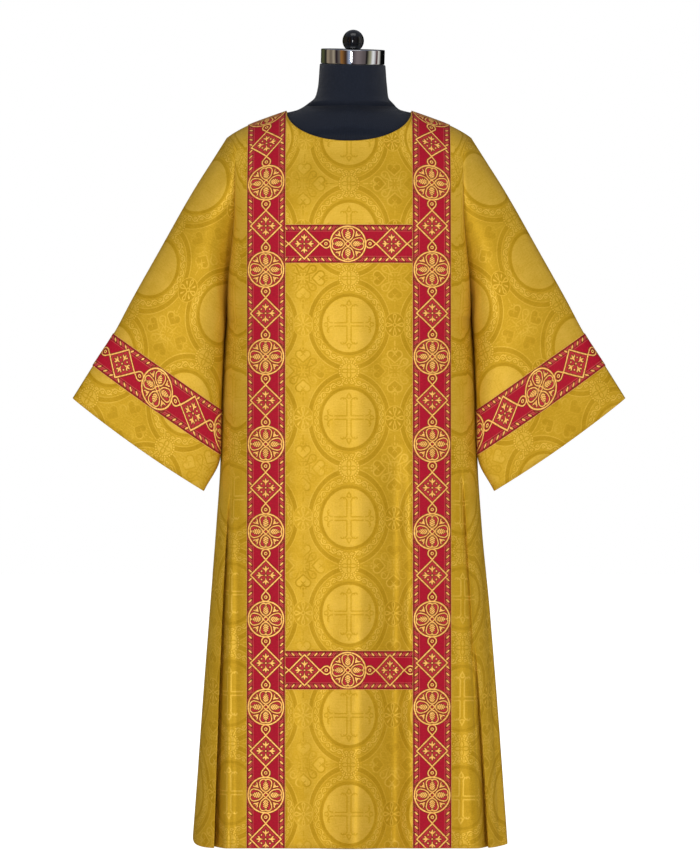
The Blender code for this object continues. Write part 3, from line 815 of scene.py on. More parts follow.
def spandrelShapes(x, y, cut):
    # Between four roundels: four hearts that point to the middle, and a scrolled leaf on each
    # diagonal, about a small square.
    a, b = cut["halfWide"] - x, cut["halfTall"] - y
    major, minor = high(a, b), low(a, b)
    line = cut["line"]
    heart = drop(31.0 - major, minor - 6.2, 7.0, 48.0)
    cleft = high(abs(abs(major - 32.0) - minor) - line * 0.8, minor - 4.2)
    out, aside = (a + b) * math.sqrt(0.5), (a - b) * math.sqrt(0.5)
    leaf = drop(24.4 - out, abs(aside), 6.2, 23.0)
    scroll = high(abs(far(out - 24.8, aside - 1.4) - 2.9) - line * 0.7, out - aside - 25.4)
    square = high(abs(major - 11.0) - line * 0.8, minor - 8.6)
    dash = high(minor - 0.9, abs(major - 6.4) - 2.4)
    speck = low(far(a - 5.0, b - 5.0) - 1.3, far(major - 14.2, minor - 4.4) - 0.9)
    lily = drop(major - 41.6, minor, 1.5, 24.0)
    lily = low(lily, drop(major - 40.4, abs(minor - 4.8), 1.1, 24.0))
    lily = low(lily, high(minor - 0.9, abs(major - 52.0) - 4.5))
    lines = low(low(abs(heart) - line, abs(leaf) - line), low(cleft, scroll))
    return heart, low(lines, low(low(square, dash), low(speck, lily)))


def roundelShapes(x, y, cut):
    # The beaded roundel where two big ones touch, one above the other.
    b = cut["halfTall"] - y
    radius = far(x, b)
    bead = (x.math("ARCTAN2", b) * 24.0).math("COSINE")
    beads = high(abs(radius - cut["beadRing"]) - 1.3, (bead + 0.25) * -1.8)
    major, minor = high(x, b), low(x, b)
    petal = abs(far(major - 7.4, minor + 3.4) - 6.9) - 0.85
    petal = high(petal, high(1.6 - major, major - 13.2))
    return radius, beads, petal


def rosetteShapes(x, y, cut):
    # The eight-petalled rosette where two big roundels stand side by side.
    a = (cut["halfWide"] - x) / cut["rosetteSquash"]
    radius = far(a, y)
    turn = a.math("ARCTAN2", y).math("PINGPONG", math.pi / 4)
    along, across = radius * turn.math("COSINE"), radius * turn.math("SINE")
    outlined = abs(drop(16.4 - along, across, 3.3, 17.0)) - 1.0
    outlined = high(outlined, 4.5 - along)
    slant = (turn - math.pi / 4) * radius
    full = drop(16.0 - radius, abs(slant), 2.0, 12.0)
    eye = abs(radius - 3.4) - 0.9
    return radius, low(low(outlined, high(full, 5.0 - radius)), eye)


def damaskLevel(across, along, turned, paintedShadeAway, faint, plain, cut):
    # How much of the satin figure is on the face, from 0 to 1, with painted light and shade in it.
    # Where the figure is painted as lit from the other side, dark lines show on a light ground, and
    # where the cloth turns away the roundels are painted dark as shade.
    x = across.math("PINGPONG", cut["halfWide"])
    y = along.math("PINGPONG", cut["halfTall"])
    soft = cut["soft"]
    heart, lines = spandrelShapes(x, y, cut)
    level = inside(heart, soft) * (turned * 0.22 - 0.12) + (turned * 0.12 + 0.38)
    under = level
    level = laid(level, lines, turned * -0.46 + 0.66, soft)
    level = (level - under).math("MULTIPLY_ADD", plain, under)
    ring = far(x / cut["ringSquash"], y)
    level = laid(level, abs(ring - cut["ringEdge"]) - 0.9, 0.62, soft)
    level = laid(level, ring - cut["ringEdge"] + 0.9, 0.22, soft)
    level = laid(level, abs(ring - cut["ring"]) - 0.9, 0.60, soft)
    level = laid(level, ring - cut["ring"] + 0.9, 0.40, soft)
    band = abs(far(x / cut["vineSquash"], y) - cut["vineMiddle"]) - cut["vineReach"]
    vine = vineLines(x, y, cut)
    level = laid(level, high(vine - 1.4, band), 0.28, soft)
    level = laid(level, high(vine, band), turned * -0.10 + 0.78, soft)
    disc = far(x / cut["discSquash"], y)
    level = laid(level, disc - cut["discRing"], 0.20, soft)
    level = laid(level, disc - cut["disc"], paintedShadeAway * -0.28 + 0.62, soft)
    crossing = high(crossLines(x, y, cut), disc - cut["disc"] + 3.0)
    level = laid(level, crossing, paintedShadeAway * 0.40 + faint * 0.22 + 0.34, soft)
    radius, beads, petals = roundelShapes(x, y, cut)
    level = laid(level, radius - cut["beadEdge"], 0.26, soft)
    level = laid(level, beads, 0.80, soft)
    level = laid(level, radius - cut["roundel"], 0.62, soft)
    level = laid(level, petals, 0.24, soft)
    radius, petals = rosetteShapes(x, y, cut)
    level = laid(level, abs(radius - cut["rosette"]) - 0.9, 0.60, soft)
    level = laid(level, radius - cut["rosette"] + 0.9, turned * 0.24 + 0.20, soft)
    return laid(level, petals, turned * -0.04 + 0.70, soft)


def makeDamask():
    cut = damaskWeave
    material, tree, shader = newMaterial("satinDamaskWeave", Specular_IOR_Level=0.10)
    uv, across, along = clothPlace(tree)
    drift = addNode(
        tree, "ShaderNodeTexNoise", {"Vector": uv, "Scale": 9.0, "Detail": 1.0, "Distortion": 0.6}
    )
    # Painted shade: this UV layer holds how far the satin is painted dark as turned from the light,
    # and how faint its crosses are.
    sheen = addNode(tree, "ShaderNodeUVMap", uv_map="sheen")
    paintedShadeAway = addNode(tree, "ShaderNodeSeparateXYZ", (sheen,))
    faint = Field(tree, paintedShadeAway.socket.node.outputs[1])
    # Painted light and shade: beyond a wandering line the figure is painted as lit from the other
    # side, but not where it is already painted in shade.
    turned = abs(across + cut["paintedLightFrom"]) + (drift - 0.5) * cut["paintedLightWander"]
    turned = inside(turned - cut["paintedLightReach"], cut["paintedLightSoft"])
    turned = turned * (paintedShadeAway * -1.0 + 1.0)
    plain = addNode(tree, "ShaderNodeTexNoise", {"Vector": uv, "Scale": 14.0, "Detail": 1.0})
    plain = (plain - 0.5) * cut["plainSwing"] + cut["plain"]
    least, most = cut["plainRange"]
    plain = high(low(plain - faint * cut["plainFaint"], most), least)
    level = damaskLevel(across, along, turned, paintedShadeAway, faint, plain, cut)

    # slubs and single threads that catch the light, along and across
    grain = addNode(
        tree, "ShaderNodeVectorMath", (uv, (1000 / cut["slub"], 1000 / cut["thread"], 1.0)),
        operation="MULTIPLY",
    )
    slub = addNode(tree, "ShaderNodeTexNoise", {"Vector": grain, "Scale": 1.0, "Detail": 1.0})
    grain = addNode(
        tree, "ShaderNodeVectorMath", (uv, (1000 / cut["thread"], 1000 / cut["thread"], 1.0)),
        operation="MULTIPLY",
    )
    speck = addNode(tree, "ShaderNodeTexNoise", {"Vector": grain, "Scale": 1.0, "Detail": 2.0})
    cloud = addNode(tree, "ShaderNodeTexNoise", {"Vector": uv, "Scale": 26.0, "Detail": 2.0})
    worked = level + (slub - 0.5) * cut["slubShare"] + (speck - 0.5) * cut["speckShare"]
    worked = worked + (cloud - 0.5) * cut["cloudShare"]
    # The base colour holds the woven figure with its painted light and shade, and the threads'
    # unevenness.
    ramp = addNode(tree, "ShaderNodeValToRGB", (worked,))
    stops = ramp.socket.node.color_ramp
    stops.elements[0].color = hexColour(damaskColours["dark"])
    stops.elements[1].color = hexColour(damaskColours["light"])
    stops.elements.new(0.42).color = hexColour(damaskColours["middle"])
    tree.links.new(ramp.socket, shader.inputs["Base Color"])

    shine = level * (cut["shineFigure"] - cut["shineGround"]) + cut["shineGround"]
    tree.links.new(shine.socket, shader.inputs["Metallic"])
    rough = level * (cut["roughFigure"] - cut["roughGround"]) + cut["roughGround"]
    tree.links.new((rough + (slub - 0.5) * 0.2).socket, shader.inputs["Roughness"])
    height = (slub + speck) * 0.5 + cloud * 1.6
    bump = addNode(
        tree, "ShaderNodeBump", {"Height": height, "Strength": 0.35, "Distance": 0.0009}
    )
    tree.links.new(bump.socket, shader.inputs["Normal"])
    return material


# Galloon, woven by jacquard: gold weft figures on a crimson ground, rimmed in dark brown as painted
# shadow round the raised gold.
galloonWeave = {  # millimetres, across from the middle and along from a circle to a lozenge
    "halfWide": 34.25,
    "halfRepeat": 77.4,
    "circle": 31.2,
    "line": 1.25,  # half a gold line
    "lozenge": 27.2,
    "loop": (38.6, 7.3, 41.0),  # its centre, radius and the lean of its sides
    "pip": 38.9,
    "rope": 27.8,  # the middle of the rope border
    "ropeRepeat": 12.6,
    "innerLine": 22.4,
    # the width of the painted shadow round the gold comes next
    "outline": 1.15,
    "soft": 0.9,
    "thread": 1.9,  # real wefts lie 0.3 mm apart; drawn coarser so that they show
}
galloonColours = {
    "ground": "#9C1127",
    "pale": "#AA2C33",
    "rope": "#8E1426",
    "rose": "#BE5548",
    "brown": "#5E1A0E",
    "gold": "#FFD27A",
    "goldDark": "#EBA750",
}


def circleShapes(x, y):
    # Four hearts with a veined leaf in each, four sprigs between them, and a boss in the middle.
    major, minor = high(x, y), low(x, y)
    lens = high(far(major - 18.8, minor + 4.6) - 14.6, major - 19.8)
    heart = abs(low(lens, far(major - 20.6, minor - 3.4) - 7.2)) - 0.95
    curl = high(abs(minor - 0.9) - 0.55, abs(major - 26.0) - 1.7)
    teeth = (major * (2 * math.pi / 3.4)).math("SINE") * 0.55
    leaf = far(major - 15.2, minor + 5.3) - 10.0 + teeth
    vein = ((major - minor * 0.8) * (2 * math.pi / 3.6)).math("SINE")
    leaf = high(leaf, (vein - 0.62) * 1.1)
    out = (x + y) * math.sqrt(0.5)
    side = (major - minor) * math.sqrt(0.5)
    sprig = low(drop(out - 21.8, side, 1.9, 27.0), drop(21.2 - out, side, 1.8, 30.0))
    prong = abs(out * 0.6 - side * 0.8 - 12.1) - 0.95
    sprig = low(sprig, high(prong, abs(side - 2.8) - 2.0))
    boss = abs(far(x, y) - 3.6) - 0.9
    return low(low(low(heart, curl), low(leaf, sprig)), boss)


def lozengeShapes(x, y, cut):
    # A cross of four lilies, and four pearls.
    y = cut["halfRepeat"] - y
    major, minor = high(x, y), low(x, y)
    lily = low(drop(major - 12.0, minor, 1.9, 21.0), drop(10.6 - major, minor, 1.8, 16.0))
    prong = abs(major * 0.80 - minor * 0.60 - 7.4) - 1.1
    lily = low(lily, high(prong, abs(minor - 2.9) - 2.3))
    pearls = far(x - 7.4, y - 7.3) - 1.4
    eye = far(x, y) - 1.4
    return low(lily, low(pearls, eye))


def makeGalloon():
    cut = galloonWeave
    line, soft = cut["line"], cut["soft"]
    material, tree, shader = newMaterial("jacquardGalloonWeave", Specular_IOR_Level=0.10)
    uv, across, along = clothPlace(tree)
    x = abs(across)
    y = along.math("PINGPONG", cut["halfRepeat"])
    radius = far(x, y) - cut["circle"]
    slope = math.sqrt(0.5)
    lozenge = (x - y + (cut["halfRepeat"] - cut["lozenge"])) * slope
    middle, size, lean = cut["loop"]
    loop = drop(y - middle, x, size, lean)

    # rope border: slanting dashes between the edge and an inner line that bends round the circle
    ropeAcross = x - cut["rope"]
    run = (ropeAcross + y - (cut["halfRepeat"] - 7.6)).math(
        "WRAP", cut["ropeRepeat"] / 2, -cut["ropeRepeat"] / 2
    )
    border = high(cut["innerLine"] - x, 3.4 - radius)
    dash = far(run * slope * 1.12, (ropeAcross * 2.0 - run) * slope * 0.44) - 1.6
    rose = high(abs(abs(abs(run) - cut["ropeRepeat"] / 2) - 1.6) - 0.75, abs(ropeAcross) - 2.8)
    rose = low(high(rose, border + 1.0), abs(border) - 0.35)
    rose = high(rose, lozenge * -1.0)

    gold = high(dash, border + 0.8)
    gold = low(gold, abs(lozenge) - line * 0.9)
    gold = low(gold, abs(loop) - line * 0.85)
    gold = low(gold, abs(far(x, y - cut["pip"]) - 2.2) - 0.85)
    gold = high(gold, radius * -1.0)
    gold = low(gold, abs(radius) - line)
    gold = low(gold, high(circleShapes(x, y), radius + 1.0))
    gold = low(gold, high(lozengeShapes(x, y, cut), lozenge + 1.0))
    gold = low(gold, 33.9 - x)

    grain = addNode(
        tree, "ShaderNodeVectorMath", (uv, (1000 / (3 * cut["thread"]), 1000 / cut["thread"], 1.0)),
        operation="MULTIPLY",
    )
    weft = addNode(tree, "ShaderNodeTexNoise", {"Vector": grain, "Scale": 1.0, "Detail": 2.0})
    colours = {name: hexColour(value) for name, value in galloonColours.items()}
    within = low(radius + line, lozenge + line)
    kind = "ShaderNodeMix"
    shade = addNode(
        tree, kind, {0: inside(within, soft), 6: colours["ground"], 7: colours["pale"]},
        output=2, data_type="RGBA",
    )
    # The dark brown rim round each gold figure is painted shadow.
    for distance, name in ((border, "rope"), (rose, "rose"), (gold - cut["outline"], "brown")):
        shade = addNode(
            tree, kind, {0: inside(distance, soft), 6: shade, 7: colours[name]},
            output=2, data_type="RGBA",
        )
    metal = addNode(
        tree, kind, {0: (weft - 0.35) * 2.2, 6: colours["goldDark"], 7: colours["gold"]},
        output=2, data_type="RGBA", clamp_factor=True,
    )
    figure = inside(gold, soft)
    shade = addNode(tree, kind, {0: figure, 6: shade, 7: metal}, output=2, data_type="RGBA")
    shade = addNode(
        tree, "ShaderNodeHueSaturation", {"Value": weft * 0.5 + 0.75, "Color": shade}
    )
    tree.links.new(shade.socket, shader.inputs["Base Color"])
    tree.links.new((figure * 0.25).socket, shader.inputs["Metallic"])
    tree.links.new((figure * -0.22 + 0.62).socket, shader.inputs["Roughness"])
    bump = addNode(
        tree, "ShaderNodeBump", {"Height": figure + weft * 0.6, "Strength": 0.5, "Distance": 0.0005}
    )
    tree.links.new(bump.socket, shader.inputs["Normal"])
    return material


jerseyKnit = {
    "wale": 3.4,  # millimetres; real loops are 1 mm, too fine to show
    "course": 2.6,
    "dark": "#0B101B",
    "light": "#171E2C",
}


def makeJersey():
    # Cotton jersey over padding: matt, nearly black, with a blue cast and faint upright wales.
    material, tree, shader = newMaterial(
        "cottonJerseyKnit", Roughness=0.86, Sheen_Weight=0.10, Specular_IOR_Level=0.25
    )
    uv, across, along = clothPlace(tree)
    wale = (across * (2 * math.pi / jerseyKnit["wale"])).math("SINE")
    course = (along * (2 * math.pi / jerseyKnit["course"])).math("SINE")
    fuzz = addNode(tree, "ShaderNodeTexNoise", {"Vector": uv, "Scale": 420.0, "Detail": 2.0})
    dark, light = (hexColour(jerseyKnit[name]) for name in ("dark", "light"))
    shade = addNode(
        tree, "ShaderNodeMix", {0: fuzz + wale * 0.12, 6: dark, 7: light},
        output=2, data_type="RGBA",
    )
    tree.links.new(shade.socket, shader.inputs["Base Color"])
    height = wale * 0.5 + course * 0.3 + fuzz
    bump = addNode(tree, "ShaderNodeBump", {"Height": height, "Strength": 0.4, "Distance": 0.0006})
    tree.links.new(bump.socket, shader.inputs["Normal"])
    return material


def makeChrome():
    # Chrome plate over turned brass: a mirror, with the faint rings that polishing leaves.
    material, tree, shader = newMaterial(
        "chromePlate", Base_Color=hexColour("#D5D6D8"), Metallic=1.0
    )
    place = addNode(tree, "ShaderNodeTexCoord", output=3)
    rings = addNode(tree, "ShaderNodeMapping", {"Vector": place, "Scale": (30.0, 30.0, 900.0)})
    wear = addNode(tree, "ShaderNodeTexNoise", {"Vector": rings, "Scale": 1.0, "Detail": 3.0})
    tree.links.new((wear * 0.07 + 0.03).socket, shader.inputs["Roughness"])
    return material


def makeLacquer():
    # Black lacquer on a turned ball: deep gloss, a little dusty.
    material, tree, shader = newMaterial(
        "blackLacquer", Base_Color=hexColour("#08090D"), Specular_IOR_Level=0.2, Coat_Weight=0.6,
        Coat_Roughness=0.04,
    )
    place = addNode(tree, "ShaderNodeTexCoord", output=3)
    dust = addNode(tree, "ShaderNodeTexNoise", {"Vector": place, "Scale": 140.0, "Detail": 4.0})
    tree.links.new((dust * 0.25 + 0.05).socket, shader.inputs["Roughness"])
    return material


def makeEnamel():
    # Stove enamel on steel: semi-gloss grey, with the slight orange peel of sprayed paint.
    material, tree, shader = newMaterial("stoveEnamel", Roughness=0.36, Coat_Weight=0.25)
    place = addNode(tree, "ShaderNodeTexCoord", output=3)
    peel = addNode(tree, "ShaderNodeTexNoise", {"Vector": place, "Scale": 260.0, "Detail": 2.0})
    cloud = addNode(tree, "ShaderNodeTexNoise", {"Vector": place, "Scale": 9.0, "Detail": 2.0})
    shade = addNode(
        tree, "ShaderNodeMix", {0: cloud, 6: hexColour("#85878B"), 7: hexColour("#96989C")},
        output=2, data_type="RGBA",
    )
    tree.links.new(shade.socket, shader.inputs["Base Color"])
    bump = addNode(tree, "ShaderNodeBump", {"Height": peel, "Strength": 0.25, "Distance": 0.0004})
    tree.links.new(bump.socket, shader.inputs["Normal"])
    return material


damask = makeDamask()
galloon = makeGalloon()
jersey = makeJersey()
chrome = makeChrome()
lacquer = makeLacquer()
enamel = makeEnamel()
print("made the materials")


def hemThickness(points):
    # The wall, thicker where its lower edge is turned up inside.
    down = np.linalg.norm(np.diff(points, axis=0), axis=2)
    fromTop = np.vstack([np.zeros((1, points.shape[1])), np.cumsum(down, axis=0)])
    turned = smoothStep((garment["hemTurn"] - (fromTop[-1:] - fromTop)) / garment["hemEase"])
    return garment["wall"] + garment["hemExtra"] * turned


def layGalloon(words, points, normal, kind):
    # A strip of galloon on a stretch of the damask, named from its words.
    name = words[0] + "".join(word.title() for word in words[1:])
    strip = clothShell(
        name, points + normal * garment["galloonLift"], normal, garment["galloonWall"],
        bandUv(points, kind), closed=kind == "round",
    )
    return finishPiece(strip, "_".join(words), galloon)


# Where the satin is painted in shade as turned from the light: beyond the uprights, but less so
# at the edge of the outline and up beside the sleeves.
paintedSatinShade = {
    "from": 0.055,  # out from the galloon's inner edge
    "over": 0.03,
    "edgeFrom": 0.87,  # share of the way out to the widest point
    "edgeOver": 0.05,
    "edgeLess": 0.6,
    "topFrom": 0.62,
    "topOver": 0.12,
    "topLess": 0.7,
}


def panelPaintedShade(points):
    # How much painted shade the satin gets as it turns from the light, and how faint its crosses
    # are: none here.
    cut = paintedSatinShade
    out, height = np.abs(points[:, :, 0]), points[:, :, 2]
    share = out / out.max(axis=1)[:, None]
    paintedShadeAway = smoothStep((out - garment["bandInner"] - cut["from"]) / cut["over"])
    paintedShadeAway *= 1 - cut["edgeLess"] * smoothStep((share - cut["edgeFrom"]) / cut["edgeOver"])
    paintedShadeAway *= 1 - cut["topLess"] * smoothStep((height - cut["topFrom"]) / cut["topOver"])
    return np.stack([paintedShadeAway, np.zeros(paintedShadeAway.shape)], axis=2)


def makePanel(panel):
    points, normal = panelGrid(panel)
    piece = clothShell(
        panel + "Panel", points, normal, hemThickness(points), panelUv(points),
        sheen=panelPaintedShade(points),
    )
    finishPiece(piece, panel + "_panel", damask)
    last = points.shape[1] - 1
    start = garment["sideSteps"]
    end = start + garment["bandSteps"]
    uprights = {"right": slice(start, end + 1), "left": slice(last - end, last - start + 1)}
    bands = []
    for name, part in uprights.items():
        words = ("orphrey", panel, name)
        bands.append(layGalloon(words, points[:, part], normal[:, part], "upright"))
    levels = panelLevels()
    for name in ("upper", "lower"):
        top = garment[name + "Bar"]
        first = int(np.argmin(np.abs(levels - top)))
        final = int(np.argmin(np.abs(levels - top + garment["bandWidth"])))
        part = slice(first, final + 1), slice(end, last - end + 1)
        bands.append(layGalloon(("bar", panel, name), points[part], normal[part], "bar"))
    print("made the", panel, "panel,", len(points), "x", points.shape[1])
    return piece, bands


def makeSleeve(name, side):
    points, normal = sleeveGrid(side)
    rows, columns = points.shape[:2]
    # The sleeves get faint crosses and no painted shade.
    sheen = np.broadcast_to([0.0, 1.0], (rows, columns + 1, 2))  # faint crosses, nothing turned
    piece = clothShell(
        "sleeve" + name.title(), points, normal, hemThickness(points), sleeveUv(points, side),
        closed=True, sheen=sheen,
    )
    finishPiece(piece, "sleeve_" + name, damask)
    first = sum(sleeve["stepsASection"][: sleeve["bandStart"]])
    final = sum(sleeve["stepsASection"][: sleeve["bandEnd"]])
    part = slice(first, final + 1)
    strip = layGalloon(("sleeve", "band", name), points[part], normal[part], "round")
    print("made the", name, "sleeve")
    return piece, strip


frontPanel, frontBands = makePanel("front")
backPanel, backBands = makePanel("back")
sleeveRight, bandRight = makeSleeve("right", -1)
sleeveLeft, bandLeft = makeSleeve("left", 1)


def clothArea(thing):
    # One face of the wall, in square metres.
    return sum(face.area for face in thing.data.polygons) / 2


allBands = (*frontBands, *backBands, bandRight, bandLeft)
for thing in (frontPanel, backPanel, sleeveRight, sleeveLeft, *allBands):
    print(thing.name, "area", round(clothArea(thing), 4), "faces", len(thing.data.polygons))


# The dress form: a padded torso under jersey, with its neck, cap, knob, pole and base.
form = {
    "segments": 72,
    "rowsASection": 4,
    "slack": 0.0045,  # between the form and the cloth, at least
    "slackShare": 0.45,
    "neckStart": 1.329,
    "neckShift": 0.0065,
    "neckTop": 1.4005,
    "neckTilt": math.radians(6.0),  # forward
    "neckRoll": math.radians(1.5),  # down to the right
    "neckRim": 0.0022,  # rounding under the cap
    "neckRound": ((0.3, 0.35), (0.6, 0.6), (1.0, 0.75)),  # how far in and up it goes, as shares
    "neckRadius": 0.059,
    "underSeam": 0.0009,  # the form lies this much under the cloth at the shoulder seams
    "neckSink": 0.0025,  # and this much more inside the neck opening
    "headroom": 0.0004,
    "girth": 0.9,  # metres of jersey round it
}
neckTurn = Euler((form["neckTilt"], form["neckRoll"], 0))
neckUp = neckTurn.to_matrix() @ Vector((0, 0, 1))

formSections = [
    # height, half width, front depth, back depth, squareness, shift
    (0.5855, 0.1440, 0.078, 0.086, 2.2, 0.0),
    (0.5885, 0.1535, 0.085, 0.093, 2.2, 0.0),
    (0.5975, 0.1600, 0.089, 0.097, 2.2, 0.0),
    (0.6855, 0.1700, 0.096, 0.103, 2.2, 0.0),
    (0.7855, 0.1640, 0.094, 0.101, 2.2, 0.0),
    (0.9055, 0.1380, 0.086, 0.080, 2.2, 0.0),
    (1.0055, 0.1520, 0.100, 0.086, 2.3, 0.0),
    (1.0855, 0.1700, 0.110, 0.094, 2.4, 0.0),
    (1.1555, 0.1800, 0.104, 0.095, 2.5, 0.0),
    (1.2105, 0.1880, 0.090, 0.086, 2.4, 0.0),
    (1.2405, 0.1930, 0.080, 0.074, 2.3, 0.0),
    (1.2605, 0.1970, 0.071, 0.062, 2.1, 0.0),
    (1.2718, 0.1955, 0.064, 0.052, 2.0, 0.0),
]
shoulderSlices = [
    # half width, front depth, back depth, under the shoulder seam
    (0.1836, 0.070, 0.058),
    (0.1650, 0.068, 0.058),
    (0.1400, 0.066, 0.059),
    (0.1150, 0.062, 0.059),
    (0.0930, 0.062, 0.060),
]
neckSections = [
    # height, half width, front depth, back depth, squareness, shift
    (1.3290, 0.0770, 0.062, 0.060, 2.0, 0.003),
    (1.3405, 0.0660, 0.061, 0.060, 2.0, 0.005),
    (1.3645, 0.0617, 0.060, 0.060, 2.0, 0.0065),
    (1.3985, 0.0592, 0.0592, 0.0592, 2.0, 0.0065),
]


def formRing(section):
    # Points round the form at one height, kept inside the cloth below the neck.
    height, halfWidth, front, back, square, shift = section
    angle = np.linspace(0, 2 * math.pi, form["segments"], endpoint=False)
    east, north = np.sin(angle), -np.cos(angle)
    out = halfWidth * np.abs(east) ** (2 / square)
    depth = np.where(north < 0, front, back) * np.abs(north) ** (2 / square)
    if height < form["neckStart"]:
        above = height + garment["wall"] + form["headroom"]
        level = np.full(out.shape, min(above, garment["shoulder"]))
        for panel, part in (("front", north < 0), ("back", north >= 0)):
            room = clothDepth(panel, -1, out, np.full(out.shape, above), level) - garment["wall"]
            room = room - np.minimum(form["slack"], form["slackShare"] * room)
            depth = np.where(part, np.minimum(depth, np.maximum(room, 0)), depth)
    out, depth = np.copysign(out, east), np.copysign(depth, north)
    lean = max(height - form["neckStart"], 0) / (form["neckTop"] - form["neckStart"])
    fall = (neckUp.x * out + neckUp.y * depth) / neckUp.z
    return np.stack([shift + out, depth, height - lean * fall], axis=1)


def makeTorso():
    # A shell lofted through the sections and closed at both ends.
    slices = []
    for out, front, back in shoulderSlices:
        height = float(shoulderHeight(np.array(out))) - garment["wall"] - form["underSeam"]
        height -= form["neckSink"] if out < garment["bandInner"] else 0
        slices.append((height, out, front, back, 2.0, 0.0))
    table = np.array(formSections + slices + neckSections)
    knots = np.arange(len(table))
    steps = (len(table) - 1) * form["rowsASection"]
    table = smoothThrough(knots, table, np.linspace(0, len(table) - 1, steps + 1))
    rings = [formRing(section) for section in table]
    top = rings[-1]
    centre = top.mean(axis=0)
    for inward, rise in form["neckRound"]:
        ring = centre + (top - centre) * (1 - inward * form["neckRim"] / form["neckRadius"])
        rings.append(ring + [0, 0, rise * form["neckRim"]])
    rings = np.array(rings)
    rows, columns = rings.shape[:2]
    place = np.arange(rows * columns).reshape(rows, columns)
    after = np.roll(place, -1, axis=1)
    quads = np.stack([place[:-1], after[:-1], after[1:], place[1:]], axis=2).reshape(-1, 4)
    faces = quads.tolist() + [place[0, ::-1].tolist(), place[-1].tolist()]
    mesh = bpy.data.meshes.new("formTorso")
    mesh.from_pydata(rings.reshape(-1, 3).tolist(), [], faces)
    around = np.linspace(0, form["girth"], columns + 1)
    heights = rings[:, :, 2].mean(axis=1)
    row, column = np.divmod(np.arange(len(quads)), columns)
    rowOf = row[:, None] + np.array([0, 0, 1, 1])
    columnOf = column[:, None] + np.array([0, 1, 1, 0])
    uv = np.stack([around[columnOf], heights[rowOf]], axis=2).reshape(-1, 2)
    ends = np.zeros((2 * columns, 2))
    setUv(mesh, "cloth", np.concatenate([uv, ends]))
    thing = addThing("formTorso", mesh)
    bpy.ops.object.shade_smooth()
    bpy.ops.object.select_all(action="DESELECT")
    finishPiece(thing, "form_torso", jersey)


def addCylinder(radius, tall, bottom, vertices):
    # A plain upright cylinder on the axis, left in edit mode.
    bpy.ops.mesh.primitive_cylinder_add(
        vertices=vertices, radius=radius, depth=tall, location=(0, 0, bottom + tall / 2)
    )
    thing = bpy.context.object
    bpy.ops.object.transform_apply(location=True)
    bpy.ops.object.mode_set(mode="EDIT")
    return thing


def finishTurned(thing, name, node, material, turn=(0, 0, 0), seat=(0, 0, 0)):
    # Leaves edit mode and sets a turned piece where it goes, with its place in its mesh.
    bpy.ops.object.mode_set(mode="OBJECT")
    thing.name = name
    thing.rotation_euler = turn
    thing.location = seat
    thing.select_set(True)
    bpy.context.view_layer.objects.active = thing
    bpy.ops.object.transform_apply(location=True, rotation=True, scale=True)
    bpy.ops.object.shade_smooth_by_angle(angle=math.radians(35))
    bpy.ops.object.select_all(action="DESELECT")
    finishPiece(thing, node, material)


def selectFaces(thing, wanted):
    # In edit mode, selects just the faces whose centre and normal are wanted.
    bpy.ops.mesh.select_mode(type="FACE")
    bpy.ops.mesh.select_all(action="DESELECT")
    bpy.ops.object.mode_set(mode="OBJECT")
    for face in thing.data.polygons:
        face.select = bool(wanted(face.center, face.normal))
    bpy.ops.object.mode_set(mode="EDIT")


def bevelAll(width, segments, angle=40):
    # In edit mode, rounds each edge sharper than the angle.
    bpy.ops.mesh.select_mode(type="EDGE")
    bpy.ops.mesh.select_all(action="DESELECT")
    bpy.ops.mesh.edges_select_sharp(sharpness=math.radians(angle))
    bpy.ops.mesh.bevel(offset=width, segments=segments, affect="EDGES")


def turnTop(thing, steps):
    # In edit mode, turns rings in the top face: how far each goes in, and up.
    selectFaces(thing, lambda centre, normal: normal.z > 0.9)
    for inward, rise in steps:
        bpy.ops.mesh.inset(thickness=inward, depth=rise)


cap = {
    "height": 0.0260,
    "radius": 0.0574,
    "edge": 0.0013,
    "gap": 0.0003,
    "dish": ((0.004, 0.0), (0.0015, -0.0007), (0.022, 0.0), (0.006, 0.0006)),
}
capSeat = Vector((form["neckShift"], 0, form["neckTop"])) + neckUp * cap["gap"]


def makeCap():
    # A turned and plated disc: rounded edges, and a shallow dish in its top.
    thing = addCylinder(cap["radius"], cap["height"], 0.0, 96)
    turnTop(thing, cap["dish"])
    bevelAll(cap["edge"], 4, 60)
    finishTurned(thing, "neckCap", "neck_cap", chrome, neckTurn, capSeat)


knob = {
    "radius": 0.0194,
    "height": 0.0350,
    "stretch": 1.03,
    "cut": 0.72,  # share of the radius below its middle where the foot starts
    "collar": ((-0.0012, 0.86), (-0.0010, 0.88), (-0.0004, 1.0), (-0.0002, 1.14)),  # rise, size
    "sunk": 0.0028,
}


